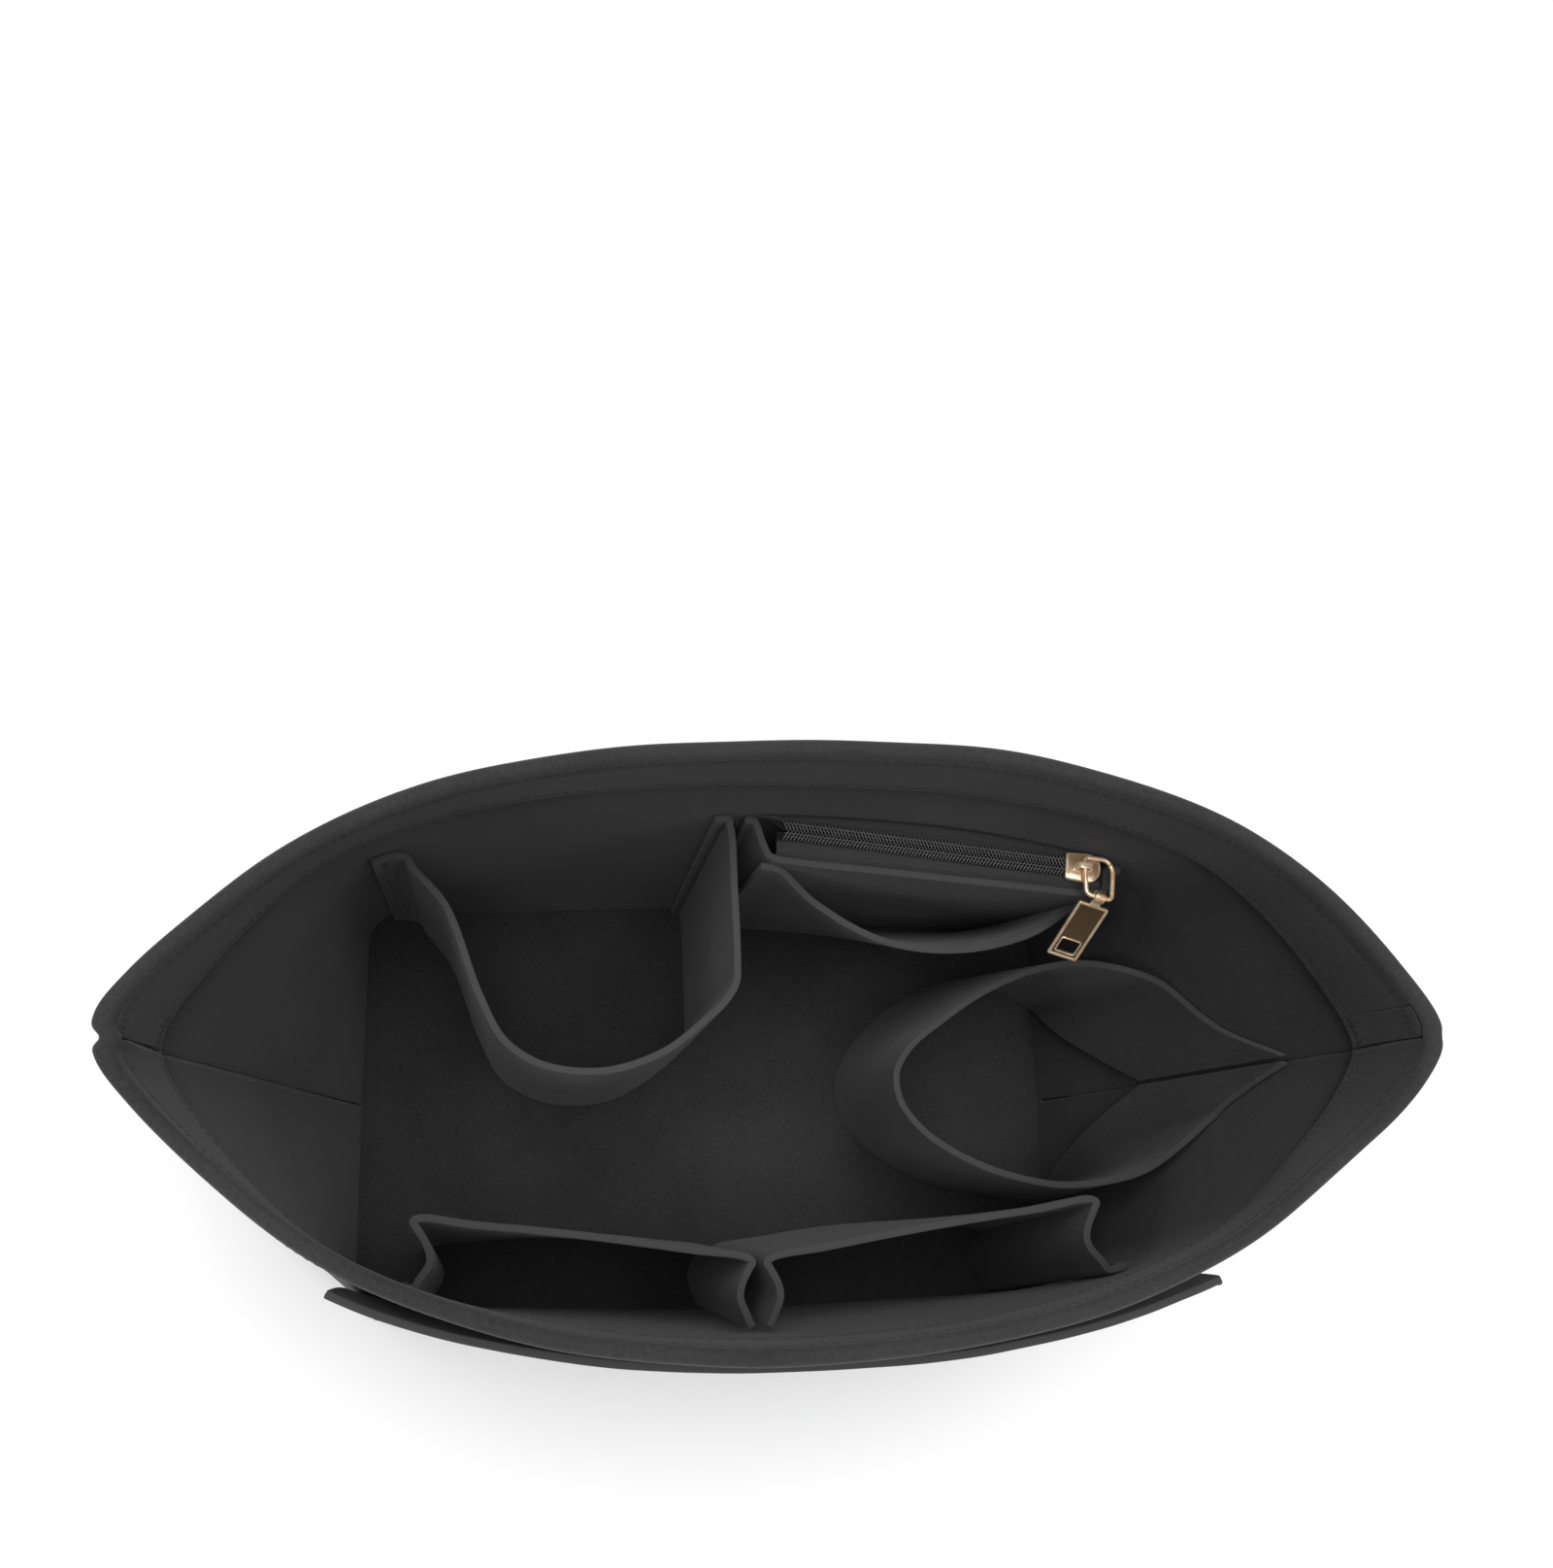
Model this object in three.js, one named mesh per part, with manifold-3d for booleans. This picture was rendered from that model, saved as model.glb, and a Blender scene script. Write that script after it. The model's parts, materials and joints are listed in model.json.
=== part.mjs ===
// A felt organizer that stands inside a handbag: a boat-shaped open tray with a folded rim,
// sewn pockets, a bottle loop and a zipped pocket. Lengths are in millimetres and +Z is up.
// The origin is the middle of the base's underside, +X runs to the right-hand tip of the rim
// and +Y to the back wall, which carries the zipped pocket.

import * as THREE from 'three';
import { mergeVertices } from 'three/addons/utils/BufferGeometryUtils.js';
import Module from 'manifold-3d';

// Body
const feltThickness = 2.6;
const seamGap = 0.3;
const baseLength = 300;
const baseWidth = 170;
const baseCornerRadius = 16;
const baseBow = 3.5;
const bodyHeight = 250;
const rimLength = 416;
const rimBackReach = 93.4;
const rimFrontReach = 95;
const rimBackPowerShares = [2.76, 1.27];
const rimFrontPowerShares = [2.36, 1.19];
const tipInsetShare = 1.15;
const hemWidth = 36;
const foldGap = 0.4;

// Turned-in seam ends at the two tips of the rim
const tipTabMargin = 1;
const tipTabWidth = 10;
const tipTabThickness = 2;
const tipTabLength = 25;
const tipTabTopMargin = 3;

// Pocket on the outside of the front wall
const outerPocketWidth = 279;
const outerPocketHeight = 215;
const outerPocketLeftGape = 5;
const outerPocketRightGape = 7.5;

// Deep pocket at the back left, one felt strip with a turned-out and a turned-in end. A pocket's
// drop is how far its top lies under the hem
const walletLeft = -126.5;
const walletWidth = 117;
const walletDepth = 84;
const walletDrop = 46;
const walletLeftTab = 10;
const walletRightTab = 7;

// Zipped pocket at the back right
const zipPocketLeft = -5.4;
const zipPocketRight = 127.5;
const zipPocketDrop = 47;
const zipPocketLeftDepth = 13.6;
const zipPocketRightDepth = 11.4;
const zipPocketFootDepth = 2.6;
const zipPocketTab = 3;
const zipPocketCorner = 6;

// Slip pocket sewn over the front of the zipped pocket
const slipLeftMargin = 5.9;
const slipRightMargin = 1.5;
const slipDrop = 66;
const slipBulge = 21.5;
const slipFootBulge = 1.6;

// Two bellows pockets on the front wall. Each end has its place on the wall, its place on the
// pocket's front and the depth of its inward fold
const bellowsDrop = 54;
const bellowsDepth = 23;
const bellowsRightDepth = 26;
const bellowsBulge = 5;
const bellowsOuterSpan = 119;
const bellowsOuterFlare = 4;
const bellowsOuterFold = 6;
const bellowsCentre = -2;
const bellowsCentreGap = 5;
const bellowsCentreFold = 4.4;
const bellowsEndTab = 6;

// Bottle loop, one felt band whose ends meet in the right-hand end seam
const loopReach = 89;
const loopFootBackReach = 52;
const loopFootFrontReach = 40;
const loopHeadReach = 126;
const loopHeadBackReach = 45;
const loopHeadFrontReach = 40.5;
const loopHeight = 105;
const loopSeamHeight = 90;
const loopSeamDrop = 34;
const loopWallRun = 42;
const loopBelly = 2.4;
const loopSeamMargin = 1.2;

// Zip tapes and coils. The chain is straight, and its line is set by its distance from the wall
const chainLeftMargin = 11.9;
const chainRightMargin = 9.6;
const chainLeftOffset = 5.9;
const chainRestOffset = 6.6;
const chainRise = 1.8;
const chainSlot = 1.5;
const coilWidth = 2.6;
const coilHeight = 1.7;
const coilEndRun = 6.5;
const tapeThickness = 0.6;
const tapeEndRun = 7;
const tapeFlatWidth = 5.6;
const tapeDrop = 3.2;

// Slider, pull ring and pull tab
const sliderLength = 13.2;
const sliderNoseWidth = 10.8;
const sliderTailWidth = 9.6;
const sliderCornerRadius = 1.8;
const sliderPlate = 1;
const sliderSlot = 1.7;
const sliderClearance = 0.4;
const dividerLength = 3;
const dividerWidth = 0.7;
const dividerInset = 0.6;
const archLength = 6.8;
const archWidth = 2.4;
const archHeight = 4.3;
const archWall = 1.05;
const wireDiameter = 1.7;
const wireClearance = 0.9;
const ringLength = 10.9;
const ringBackReach = 3.4;
const ringFrontReach = 10.2;
const ringSkew = 1.2;
const ringCornerRadius = 2.1;
const ringDroopAngle = 3;
const tabLength = 31;
const tabWidth = 12;
const tabThickness = 1.3;
const tabCornerRadius = 0.9;
const tabNeckWidth = 3.8;
const tabNeckLength = 3.6;
const tabEyeWall = 0.85;
const tabEyeClearance = 0.4;
const tabSlotWidth = 7.2;
const tabSlotLength = 6.2;
const tabSlotMargin = 2.6;
const tabRecess = 0.3;
const tabBorder = 1.1;
const tabDroopAngle = 52;
const tabTiltAngle = 4;

// Thread bars at the pocket corners
const tackLength = 7;
const tackWidth = 1.6;
const tackThickness = 0.7;
const tackEdgeMargin = 2.4;

// How finely curved pieces are drawn, in counts
const wallColumns = 44;
const wallRows = 5;
const rimSteps = 720;
const foldSteps = 6;
const stripRows = 4;
const stripSpans = 6;
const stepsPerSpan = 3;
const climbSteps = 4;
const tapeSteps = 8;
const patchRows = 2;
const patchColumns = 3;
const cornerSteps = 5;
const wireSides = 10;
const eyeSides = 20;
const shareTolerance = 1e-7;

const overrun = 1;
const floorLevel = feltThickness + seamGap;
const stripFoot = feltThickness + 2 * seamGap;
const wallLay = feltThickness + 2 * seamGap + feltThickness / 2;
const stackStep = feltThickness + seamGap;
const halfBase = baseLength / 2;
const halfRim = rimLength / 2;
const hemLevel = bodyHeight - hemWidth;
const walletHeight = hemLevel - walletDrop;
const zipPocketHeight = hemLevel - zipPocketDrop;
const slipHeight = hemLevel - slipDrop;
const bellowsHeight = hemLevel - bellowsDrop;
const chainLevel = zipPocketHeight + chainRise;
const chainLeft = zipPocketLeft + chainLeftMargin;
const chainRest = zipPocketRight - chainRightMargin;
const slipLeft = zipPocketLeft + slipLeftMargin;
const slipRight = zipPocketRight - slipRightMargin;

const wasm = await Module();
wasm.setup();

const feltColor = 0x343434;
const threadColor = 0x232323;
const tapeColor = 0x2c2c2d;
const goldColor = 0xd9ab72;

const felt = () => new THREE.MeshStandardMaterial({ color: feltColor, roughness: 0.97, metalness: 0 });
const thread = () => new THREE.MeshStandardMaterial({ color: threadColor, roughness: 0.7, metalness: 0 });
const woven = () => new THREE.MeshStandardMaterial({ color: tapeColor, roughness: 0.8, metalness: 0 });
const gold = () => new THREE.MeshStandardMaterial({ color: goldColor, roughness: 0.24, metalness: 1 });

const organizer = new THREE.Group();

function add(name, geometry, material) {
  const mesh = new THREE.Mesh(geometry, material);
  mesh.name = name;
  organizer.add(mesh);
}

// Six times the volume that a closed mesh holds, below zero when its faces point inwards.
function signedVolume(points, triangles) {
  let sum = 0;
  for (let i = 0; i < triangles.length; i += 3) {
    const [a, b, c] = [0, 1, 2].map((k) => points[triangles[i + k]]);
    sum += a.dot(new THREE.Vector3().crossVectors(b, c));
  }
  return sum;
}

function closedGeometry(points, triangles) {
  if (signedVolume(points, triangles) < 0) triangles.reverse();
  const geometry = new THREE.BufferGeometry();
  geometry.setAttribute('position', new THREE.Float32BufferAttribute(points.flatMap((p) => p.toArray()), 3));
  geometry.setIndex(triangles);
  geometry.computeVertexNormals();
  return geometry;
}

// A solid between rings of points: each ring has the same count, the ends are closed with the
// triangles of the flat outline, and a closed path has no ends.
function sweptSolid(rings, outline) {
  const count = rings[0].length;
  const triangles = [];
  const spans = outline ? rings.length - 1 : rings.length;
  for (let i = 0; i < spans; i++) {
    const next = (i + 1) % rings.length;
    for (let j = 0; j < count; j++) {
      const k = (j + 1) % count;
      const [a, b, c, d] = [i * count + j, next * count + j, next * count + k, i * count + k];
      triangles.push(a, b, c, a, c, d);
    }
  }
  if (outline) {
    const last = (rings.length - 1) * count;
    for (const [a, b, c] of THREE.ShapeUtils.triangulateShape(outline, [])) {
      const [p, q] = THREE.ShapeUtils.area(outline) > 0 ? [b, c] : [c, b];
      triangles.push(a, p, q, last + a, last + q, last + p);
    }
  }
  return closedGeometry(rings.flat(), triangles);
}

// A sheet of even thickness around a grid of centre points, given as rows of columns.
function sheetSolid(grid, thickness) {
  const [rows, columns] = [grid.length, grid[0].length];
  const at = (i, j) => grid[Math.min(Math.max(i, 0), rows - 1)][Math.min(Math.max(j, 0), columns - 1)];
  const faces = [1, -1].map((side) => grid.map((row, i) => row.map((point, j) => {
    const along = new THREE.Vector3().subVectors(at(i, j + 1), at(i, j - 1));
    const up = new THREE.Vector3().subVectors(at(i + 1, j), at(i - 1, j));
    const normal = along.cross(up).normalize();
    return point.clone().addScaledVector(normal, side * thickness / 2);
  })));
  const points = faces.flat(2);
  const id = (side, i, j) => side * rows * columns + i * columns + j;
  const triangles = [];
  const quad = (a, b, c, d) => triangles.push(a, b, c, a, c, d);
  for (let i = 0; i < rows - 1; i++) {
    for (let j = 0; j < columns - 1; j++) {
      quad(id(0, i, j), id(0, i, j + 1), id(0, i + 1, j + 1), id(0, i + 1, j));
      quad(id(1, i, j), id(1, i + 1, j), id(1, i + 1, j + 1), id(1, i, j + 1));
    }
    quad(id(0, i, 0), id(0, i + 1, 0), id(1, i + 1, 0), id(1, i, 0));
    quad(id(0, i, columns - 1), id(1, i, columns - 1), id(1, i + 1, columns - 1), id(0, i + 1, columns - 1));
  }
  for (let j = 0; j < columns - 1; j++) {
    quad(id(0, 0, j), id(1, 0, j), id(1, 0, j + 1), id(0, 0, j + 1));
    quad(id(0, rows - 1, j), id(0, rows - 1, j + 1), id(1, rows - 1, j + 1), id(1, rows - 1, j));
  }
  return closedGeometry(points, triangles);
}

const mix = THREE.MathUtils.lerp;
const ramp = (count) => Array.from({ length: count + 1 }, (_, i) => i / count);

// The base outline of one half, from the left seam round the back to the right seam: an end, a
// round corner, a gently bowed long side, a corner and an end. Inset moves it square inwards.
const endRun = baseWidth / 2 - baseCornerRadius;
const cornerRun = baseCornerRadius * Math.PI / 2;
const sideRun = baseLength - 2 * baseCornerRadius;
const halfBaseRun = 2 * endRun + 2 * cornerRun + sideRun;

function baseOutline(share, inset) {
  const fromEnd = Math.min(share, 1 - share) * halfBaseRun;
  const side = share < 0.5 ? -1 : 1;
  if (fromEnd < endRun) return new THREE.Vector2(side * (halfBase - inset), fromEnd);
  if (fromEnd < endRun + cornerRun) {
    const turn = (fromEnd - endRun) / baseCornerRadius;
    const reach = baseCornerRadius - inset;
    const centre = halfBase - baseCornerRadius;
    return new THREE.Vector2(side * (centre + reach * Math.cos(turn)), endRun + reach * Math.sin(turn));
  }
  const x = share * halfBaseRun - endRun - cornerRun - sideRun / 2;
  const swing = 2 * Math.PI * x / sideRun;
  const slope = -baseBow * Math.PI / sideRun * Math.sin(swing);
  const normal = new THREE.Vector2(-slope, 1).normalize();
  const y = baseWidth / 2 + baseBow * (1 + Math.cos(swing)) / 2;
  return new THREE.Vector2(x - normal.x * inset, y - normal.y * inset);
}

// The rim outline of one side, 1 for the back and -1 for the front: half of a full lens, where
// powers of the shares of its length and reach sum to one. A table turns a share of its run into
// its angle.
function rimAtAngle(side, angle, inset) {
  const [c, s] = [Math.cos(angle), Math.sin(angle)];
  const powers = side > 0 ? rimBackPowerShares : rimFrontPowerShares;
  const reach = side > 0 ? rimBackReach : rimFrontReach;
  const x = (halfRim - inset * tipInsetShare) * Math.sign(c) * Math.abs(c) ** (2 / powers[0]);
  const y = (reach - inset) * Math.abs(s) ** (2 / powers[1]);
  return new THREE.Vector2(-x, y);
}

function rimRunTable(side) {
  const runs = [0];
  for (const share of ramp(rimSteps).slice(1)) {
    const here = rimAtAngle(side, share * Math.PI, 0);
    const before = rimAtAngle(side, (share - 1 / rimSteps) * Math.PI, 0);
    runs.push(runs[runs.length - 1] + here.distanceTo(before));
  }
  return runs;
}

const [backRuns, frontRuns] = [rimRunTable(1), rimRunTable(-1)];

function rimOutline(side, share, inset) {
  const runs = side > 0 ? backRuns : frontRuns;
  const run = share * runs[rimSteps];
  const found = runs.findIndex((value) => value >= run);
  const step = found < 0 ? rimSteps : Math.max(found, 1);
  const part = (run - runs[step - 1]) / (runs[step] - runs[step - 1]);
  return rimAtAngle(side, (step - 1 + part) / rimSteps * Math.PI, inset);
}

// A point of a wall: share runs from the left end seam to the right one, and inset goes inwards
// from the outer face. The walls are straight from the base outline to the rim outline and flat
// between their columns, and they keep half the seam gap from the end seams.
function columnPoint(side, column, level, inset) {
  const share = column / wallColumns;
  const plan = baseOutline(share, inset).lerp(rimOutline(side, share, inset), level / bodyHeight);
  return new THREE.Vector3(plan.x, side * (seamGap / 2 + plan.y), level);
}

function wallPoint(side, share, level, inset) {
  const column = THREE.MathUtils.clamp(Math.floor(share * wallColumns), 0, wallColumns - 1);
  const next = columnPoint(side, column + 1, level, inset);
  return columnPoint(side, column, level, inset).lerp(next, share * wallColumns - column);
}

function wallShare(side, x, level, inset) {
  let [low, high] = [0, 1];
  while (high - low > shareTolerance) {
    const middle = (low + high) / 2;
    if (wallPoint(side, middle, level, inset).x < x) low = middle;
    else high = middle;
  }
  return (low + high) / 2;
}

// A point above x on the sheet that lies against a wall's inner face, moved off it by standoff.
function offWall(side, x, level, standoff) {
  const point = wallPoint(side, wallShare(side, x, level, wallLay), level, wallLay);
  point.y -= side * standoff;
  return point;
}

// The walls: one sheet each, whose top is folded inwards and hangs down as the hem.
function wallProfile() {
  const outerRadius = feltThickness + foldGap / 2;
  const innerRadius = foldGap / 2;
  const bendLevel = bodyHeight - outerRadius;
  const rise = ramp(wallRows).map((t) => mix(floorLevel, bendLevel, t));
  const bend = ramp(foldSteps).slice(1, -1).map((t) => Math.PI * (1 - t));
  const arc = (radius, angle) => [
    outerRadius + radius * Math.cos(angle),
    bendLevel + radius * Math.sin(angle),
  ];
  const outline = [
    ...rise.map((level) => [0, level]),
    ...bend.map((angle) => arc(outerRadius, angle)),
    [2 * outerRadius, bendLevel],
    [2 * outerRadius, mix(bendLevel, hemLevel, 0.5)],
    [2 * outerRadius, hemLevel],
    [feltThickness + foldGap, hemLevel],
    [feltThickness + foldGap, mix(bendLevel, hemLevel, 0.5)],
    [feltThickness + foldGap, bendLevel],
    arc(innerRadius, Math.PI / 2),
    ...rise.toReversed().map((level) => [feltThickness, level]),
  ];
  return outline.map(([inset, level]) => new THREE.Vector2(inset, level));
}

function wallPanel(side) {
  const profile = wallProfile();
  const columns = ramp(wallColumns).map((share) => Math.round(share * wallColumns));
  const rings = columns.map((column) => profile.map((p) => columnPoint(side, column, p.y, p.x)));
  return sweptSolid(rings, profile);
}

add('back_wall_panel', wallPanel(1), felt());
add('front_wall_panel', wallPanel(-1), felt());

function basePanel() {
  const half = ramp(wallColumns).map((share) => baseOutline(share, 0));
  const other = half.slice(1, -1).map((p) => new THREE.Vector2(p.x, -p.y)).reverse();
  const shape = new THREE.Shape([...half, ...other]);
  const plate = new THREE.ExtrudeGeometry(shape, { depth: feltThickness, bevelEnabled: false });
  plate.deleteAttribute('normal');
  plate.deleteAttribute('uv');
  return mergeVertices(plate);
}

add('base_panel', basePanel(), felt());

// A patch of sheet that follows a wall between two shares and two levels.
function wallPatch(side, shares, levels, inset, thickness, standoff = () => 0) {
  const grid = levels.map((level) => shares.map((share) => {
    const point = wallPoint(side, share, level, inset);
    point.y -= side * standoff(share, level);
    return point;
  }));
  return sheetSolid(grid, thickness);
}

// The turned-in seam ends lie on the back wall's hem, next to the end seams.
const hemInset = 2 * feltThickness + foldGap;
const tipTabInset = hemInset + seamGap + tipTabThickness / 2;
const tipTabHead = bodyHeight - tipTabTopMargin;
const tipTabLevels = ramp(patchRows).map((t) => mix(tipTabHead - tipTabLength, tipTabHead, t));
const tipTabShares = ramp(patchColumns).map((t) => (tipTabMargin + t * tipTabWidth) / backRuns[rimSteps]);
for (const [name, shares] of [
  ['left_tip_tab', tipTabShares],
  ['right_tip_tab', tipTabShares.map((share) => 1 - share).reverse()],
]) {
  add(name, wallPatch(1, shares, tipTabLevels, tipTabInset, tipTabThickness), felt());
}

// The outer pocket lies on the front wall and its top corners stand a little off it.
const outerPocketLay = -(2 * seamGap + feltThickness / 2);
const [outerStart, outerEnd] = [-1, 1].map((end) => (
  wallShare(-1, end * outerPocketWidth / 2, outerPocketHeight, 0)
));
const outerColumns = ramp(wallColumns).filter((share) => share > outerStart && share < outerEnd);
const outerShares = [outerStart, ...outerColumns, outerEnd];
const outerLevels = ramp(wallRows).map((t) => mix(floorLevel, outerPocketHeight, t));

function outerGape(share, level) {
  const rightShare = (share - outerStart) / (outerEnd - outerStart);
  const leftShare = (outerEnd - share) / (outerEnd - outerStart);
  const riseShare = Math.max(0, mix(-1, 1, level / outerPocketHeight)) ** 2;
  return -riseShare * (outerPocketLeftGape * leftShare ** 3 + outerPocketRightGape * rightShare ** 3);
}

const outerSheet = wallPatch(-1, outerShares, outerLevels, outerPocketLay, feltThickness, outerGape);
add('outer_pocket', outerSheet, felt());

// A standing strip: control points for its top and foot give x and the standoff from what it is
// sewn to, and each row of the strip is a smooth line through the points at that level.
function standingStrip(top, foot, height, place) {
  return ramp(stripRows).map((t) => {
    const level = mix(stripFoot, height, t);
    const controls = top.map(([x, off], i) => place(mix(foot[i][0], x, t), level, mix(foot[i][1], off, t)));
    const curve = new THREE.CatmullRomCurve3(controls, false, 'centripetal');
    return curve.getPoints((controls.length - 1) * stepsPerSpan);
  });
}

// Deep pocket: shares of its width and depth, from the turned-out left end to the right corner.
const walletRight = walletLeft + walletWidth;
const walletShares = [
  [0.012, 0.022], [0.03, 0.07], [0.129, 0.26], [0.235, 0.66], [0.31, 0.87], [0.40, 0.975], [0.50, 1.03],
  [0.61, 1.045], [0.71, 1.02], [0.80, 0.965], [0.90, 0.86], [0.965, 0.775], [0.997, 0.70], [0.999, 0.60],
  [0.995, 0.34], [0.988, 0.07], [0.982, 0.03],
];

const tabLiftShare = 0.05;
const walletFootShare = 0.94;

function walletPath(depthShare) {
  return [
    [walletLeft - walletLeftTab, 0],
    [walletLeft - walletLeftTab / 2, 0],
    [walletLeft - walletLeftTab / 5, tabLiftShare * feltThickness],
    ...walletShares.map(([u, v]) => [walletLeft + u * walletWidth, v * walletDepth * depthShare]),
    [walletRight - walletRightTab / 3, tabLiftShare * feltThickness],
    [walletRight - walletRightTab, 0],
  ];
}

add('wallet_pocket', sheetSolid(standingStrip(
  walletPath(1),
  walletPath(walletFootShare),
  walletHeight,
  (x, level, off) => offWall(1, x, level, off),
), feltThickness), felt());

// Zipped pocket front. Its front line is straight in plan between two depths from the wall, and
// its foot lies close to the wall at the base seam.
const zipTopLine = [zipPocketLeft, zipPocketRight].map((x, i) => (
  offWall(1, x, zipPocketHeight, [zipPocketLeftDepth, zipPocketRightDepth][i])
));

function zipPanelPoint(x, level) {
  const along = (x - zipPocketLeft) / (zipPocketRight - zipPocketLeft);
  const top = new THREE.Vector3().lerpVectors(...zipTopLine, along);
  const foot = offWall(1, x, floorLevel, zipPocketFootDepth);
  const t = (level - floorLevel) / (zipPocketHeight - floorLevel);
  return new THREE.Vector3(x, mix(foot.y, top.y, t), level);
}

// Its ends: shares of its corner's run along the wall and of its depth.
const zipLeftEndShares = [[0, 0], [0.25, 0], [0.5, 0.05], [1, 0.62], [1.4, 0.93]];
const zipRightEndShares = [[-0.25, 0.96], [0, 0.8], [0.1, 0.4], [0.3, 0.06], [1, 0]];

function zipPanelGrid() {
  return ramp(stripRows).map((t) => {
    const level = mix(stripFoot, zipPocketHeight, t);
    const front = (x) => zipPanelPoint(x, level);
    const back = (x, off) => offWall(1, x, level, off);
    const deep = (x) => back(x, 0).y - front(x).y;
    const [from, to] = [zipPocketLeft + 3 * zipPocketCorner, zipPocketRight - zipPocketCorner];
    const controls = [
      ...zipLeftEndShares.map(([u, v]) => (
        back(zipPocketLeft + u * zipPocketCorner, v * deep(zipPocketLeft + zipPocketCorner))
      )),
      ...ramp(stripSpans).map((u) => front(mix(from, to, u))),
      ...zipRightEndShares.map(([u, v]) => (
        back(zipPocketRight + u * zipPocketCorner, v * deep(zipPocketRight))
      )),
    ];
    const curve = new THREE.CatmullRomCurve3(controls, false, 'centripetal');
    return curve.getPoints((controls.length - 1) * stepsPerSpan);
  });
}

add('zip_pocket', sheetSolid(zipPanelGrid(), feltThickness), felt());

// Slip pocket: it lies on the zipped pocket's front at both ends and bulges away between them.
const slipShares = [
  [0, 0], [0.03, 0], [0.06, 0.04], [0.11, 0.2], [0.19, 0.46], [0.27, 0.72], [0.37, 0.93], [0.50, 1.02],
  [0.62, 0.96], [0.72, 0.81], [0.82, 0.58], [0.89, 0.33], [0.935, 0.12], [0.96, 0.03], [0.98, 0], [1, 0],
];
const slipPath = (bulge) => slipShares.map(([u, v]) => [mix(slipLeft, slipRight, u), v * bulge]);
add('slip_pocket', sheetSolid(standingStrip(
  slipPath(slipBulge),
  slipPath(slipFootBulge),
  slipHeight,
  (x, level, off) => {
    const point = zipPanelPoint(x, level);
    point.y -= stackStep + off;
    return point;
  },
), feltThickness), felt());

// Bellows pockets: each is one strip with an inward fold at either end. An end's shares are of
// its fold and of the pocket's depth, from the wall to the front corner.
const bellowsEndShares = [
  [0.15, 0.03], [0.4, 0.15], [0.95, 0.4], [1, 0.52], [0.8, 0.66], [0.25, 0.86], [0, 0.95],
];

function bellowsEnd(end, inward) {
  return bellowsEndShares.map(([u, v]) => (
    [mix(end.wall, end.front, v) + inward * u * end.fold, v * end.depth]
  ));
}

function bellowsPath(left, right) {
  const front = ramp(stripSpans).slice(1, -1).map((t) => (
    [mix(left.front, right.front, t), mix(left.depth, right.depth, t) + bellowsBulge * Math.sin(Math.PI * t)]
  ));
  const corner = (end, inward) => [end.front + inward * feltThickness, end.depth + feltThickness / 4];
  const tab = (end, outward) => (
    end.tab ? [[end.wall + outward * end.tab, 0], [end.wall + outward * end.tab / 2, 0]] : []
  );
  return [
    ...tab(left, -1),
    ...bellowsEnd(left, 1),
    corner(left, 1),
    ...front,
    corner(right, -1),
    ...bellowsEnd(right, -1).toReversed(),
    ...tab(right, 1).toReversed(),
  ];
}

const bellowsOuterEnd = (side) => ({
  wall: side * (bellowsOuterSpan + (side > 0 ? bellowsOuterFlare : 0)),
  front: side * bellowsOuterSpan,
  fold: bellowsOuterFold,
  depth: side > 0 ? bellowsRightDepth : bellowsDepth,
  tab: bellowsEndTab,
});
const bellowsCentreEnd = (side) => {
  const x = bellowsCentre + side * bellowsCentreGap / 2;
  return { wall: x, front: x, fold: bellowsCentreFold, depth: bellowsDepth, tab: 0 };
};

for (const [name, left, right] of [
  ['front_left_pocket', bellowsOuterEnd(-1), bellowsCentreEnd(-1)],
  ['front_right_pocket', bellowsCentreEnd(1), bellowsOuterEnd(1)],
]) {
  const path = bellowsPath(left, right);
  const grid = standingStrip(path, path, bellowsHeight, (x, level, off) => offWall(-1, x, level, off));
  add(name, sheetSolid(grid, feltThickness), felt());
}

// Bottle loop: its foot line climbs the end wall to the end seam, and its top line is level on the
// open side and rises to the seam. Shares are of its reaches to the left and to the back and
// front, and of the rise of its top line, in pairs from the back end round to the front end. On
// the wall they are of its run along the wall and of that rise.
const loopLay = feltThickness + 5 * seamGap + feltThickness / 2;
const loopFloor = floorLevel + seamGap;
const loopFootRight = halfBase - loopLay;
const loopSeamLevel = hemLevel - loopSeamDrop;
const loopFootShares = [
  [0.16, 0.97], [0.30, 1.02], [0.44, 1.00], [0.68, 0.81], [0.84, 0.58], [0.94, 0.36], [0.99, 0.13],
  [0.97, -0.15], [0.87, -0.42], [0.69, -0.71], [0.46, -0.91], [0.22, -1.01],
];
const loopHeadShares = [
  [0.205, 0.79, 0.31], [0.325, 0.93, 0.23], [0.43, 0.99, 0.12], [0.556, 0.94, 0.02],
  [0.714, 0.75, 0], [0.86, 0.48, 0], [0.944, 0.29, 0], [0.99, 0.07, 0], [0.98, -0.2, 0],
  [0.91, -0.48, 0], [0.76, -0.77, 0], [0.60, -0.94, 0.01], [0.468, -1, 0.1], [0.28, -0.89, 0.28],
];
const loopWallShares = [[0.19, 0.787], [0.333, 0.627], [0.5, 0.507]];

const loopWallPoint = (side, run, level, lay = loopLay) => (
  wallPoint(side, 1 - run / halfBaseRun, level, lay)
);

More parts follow.
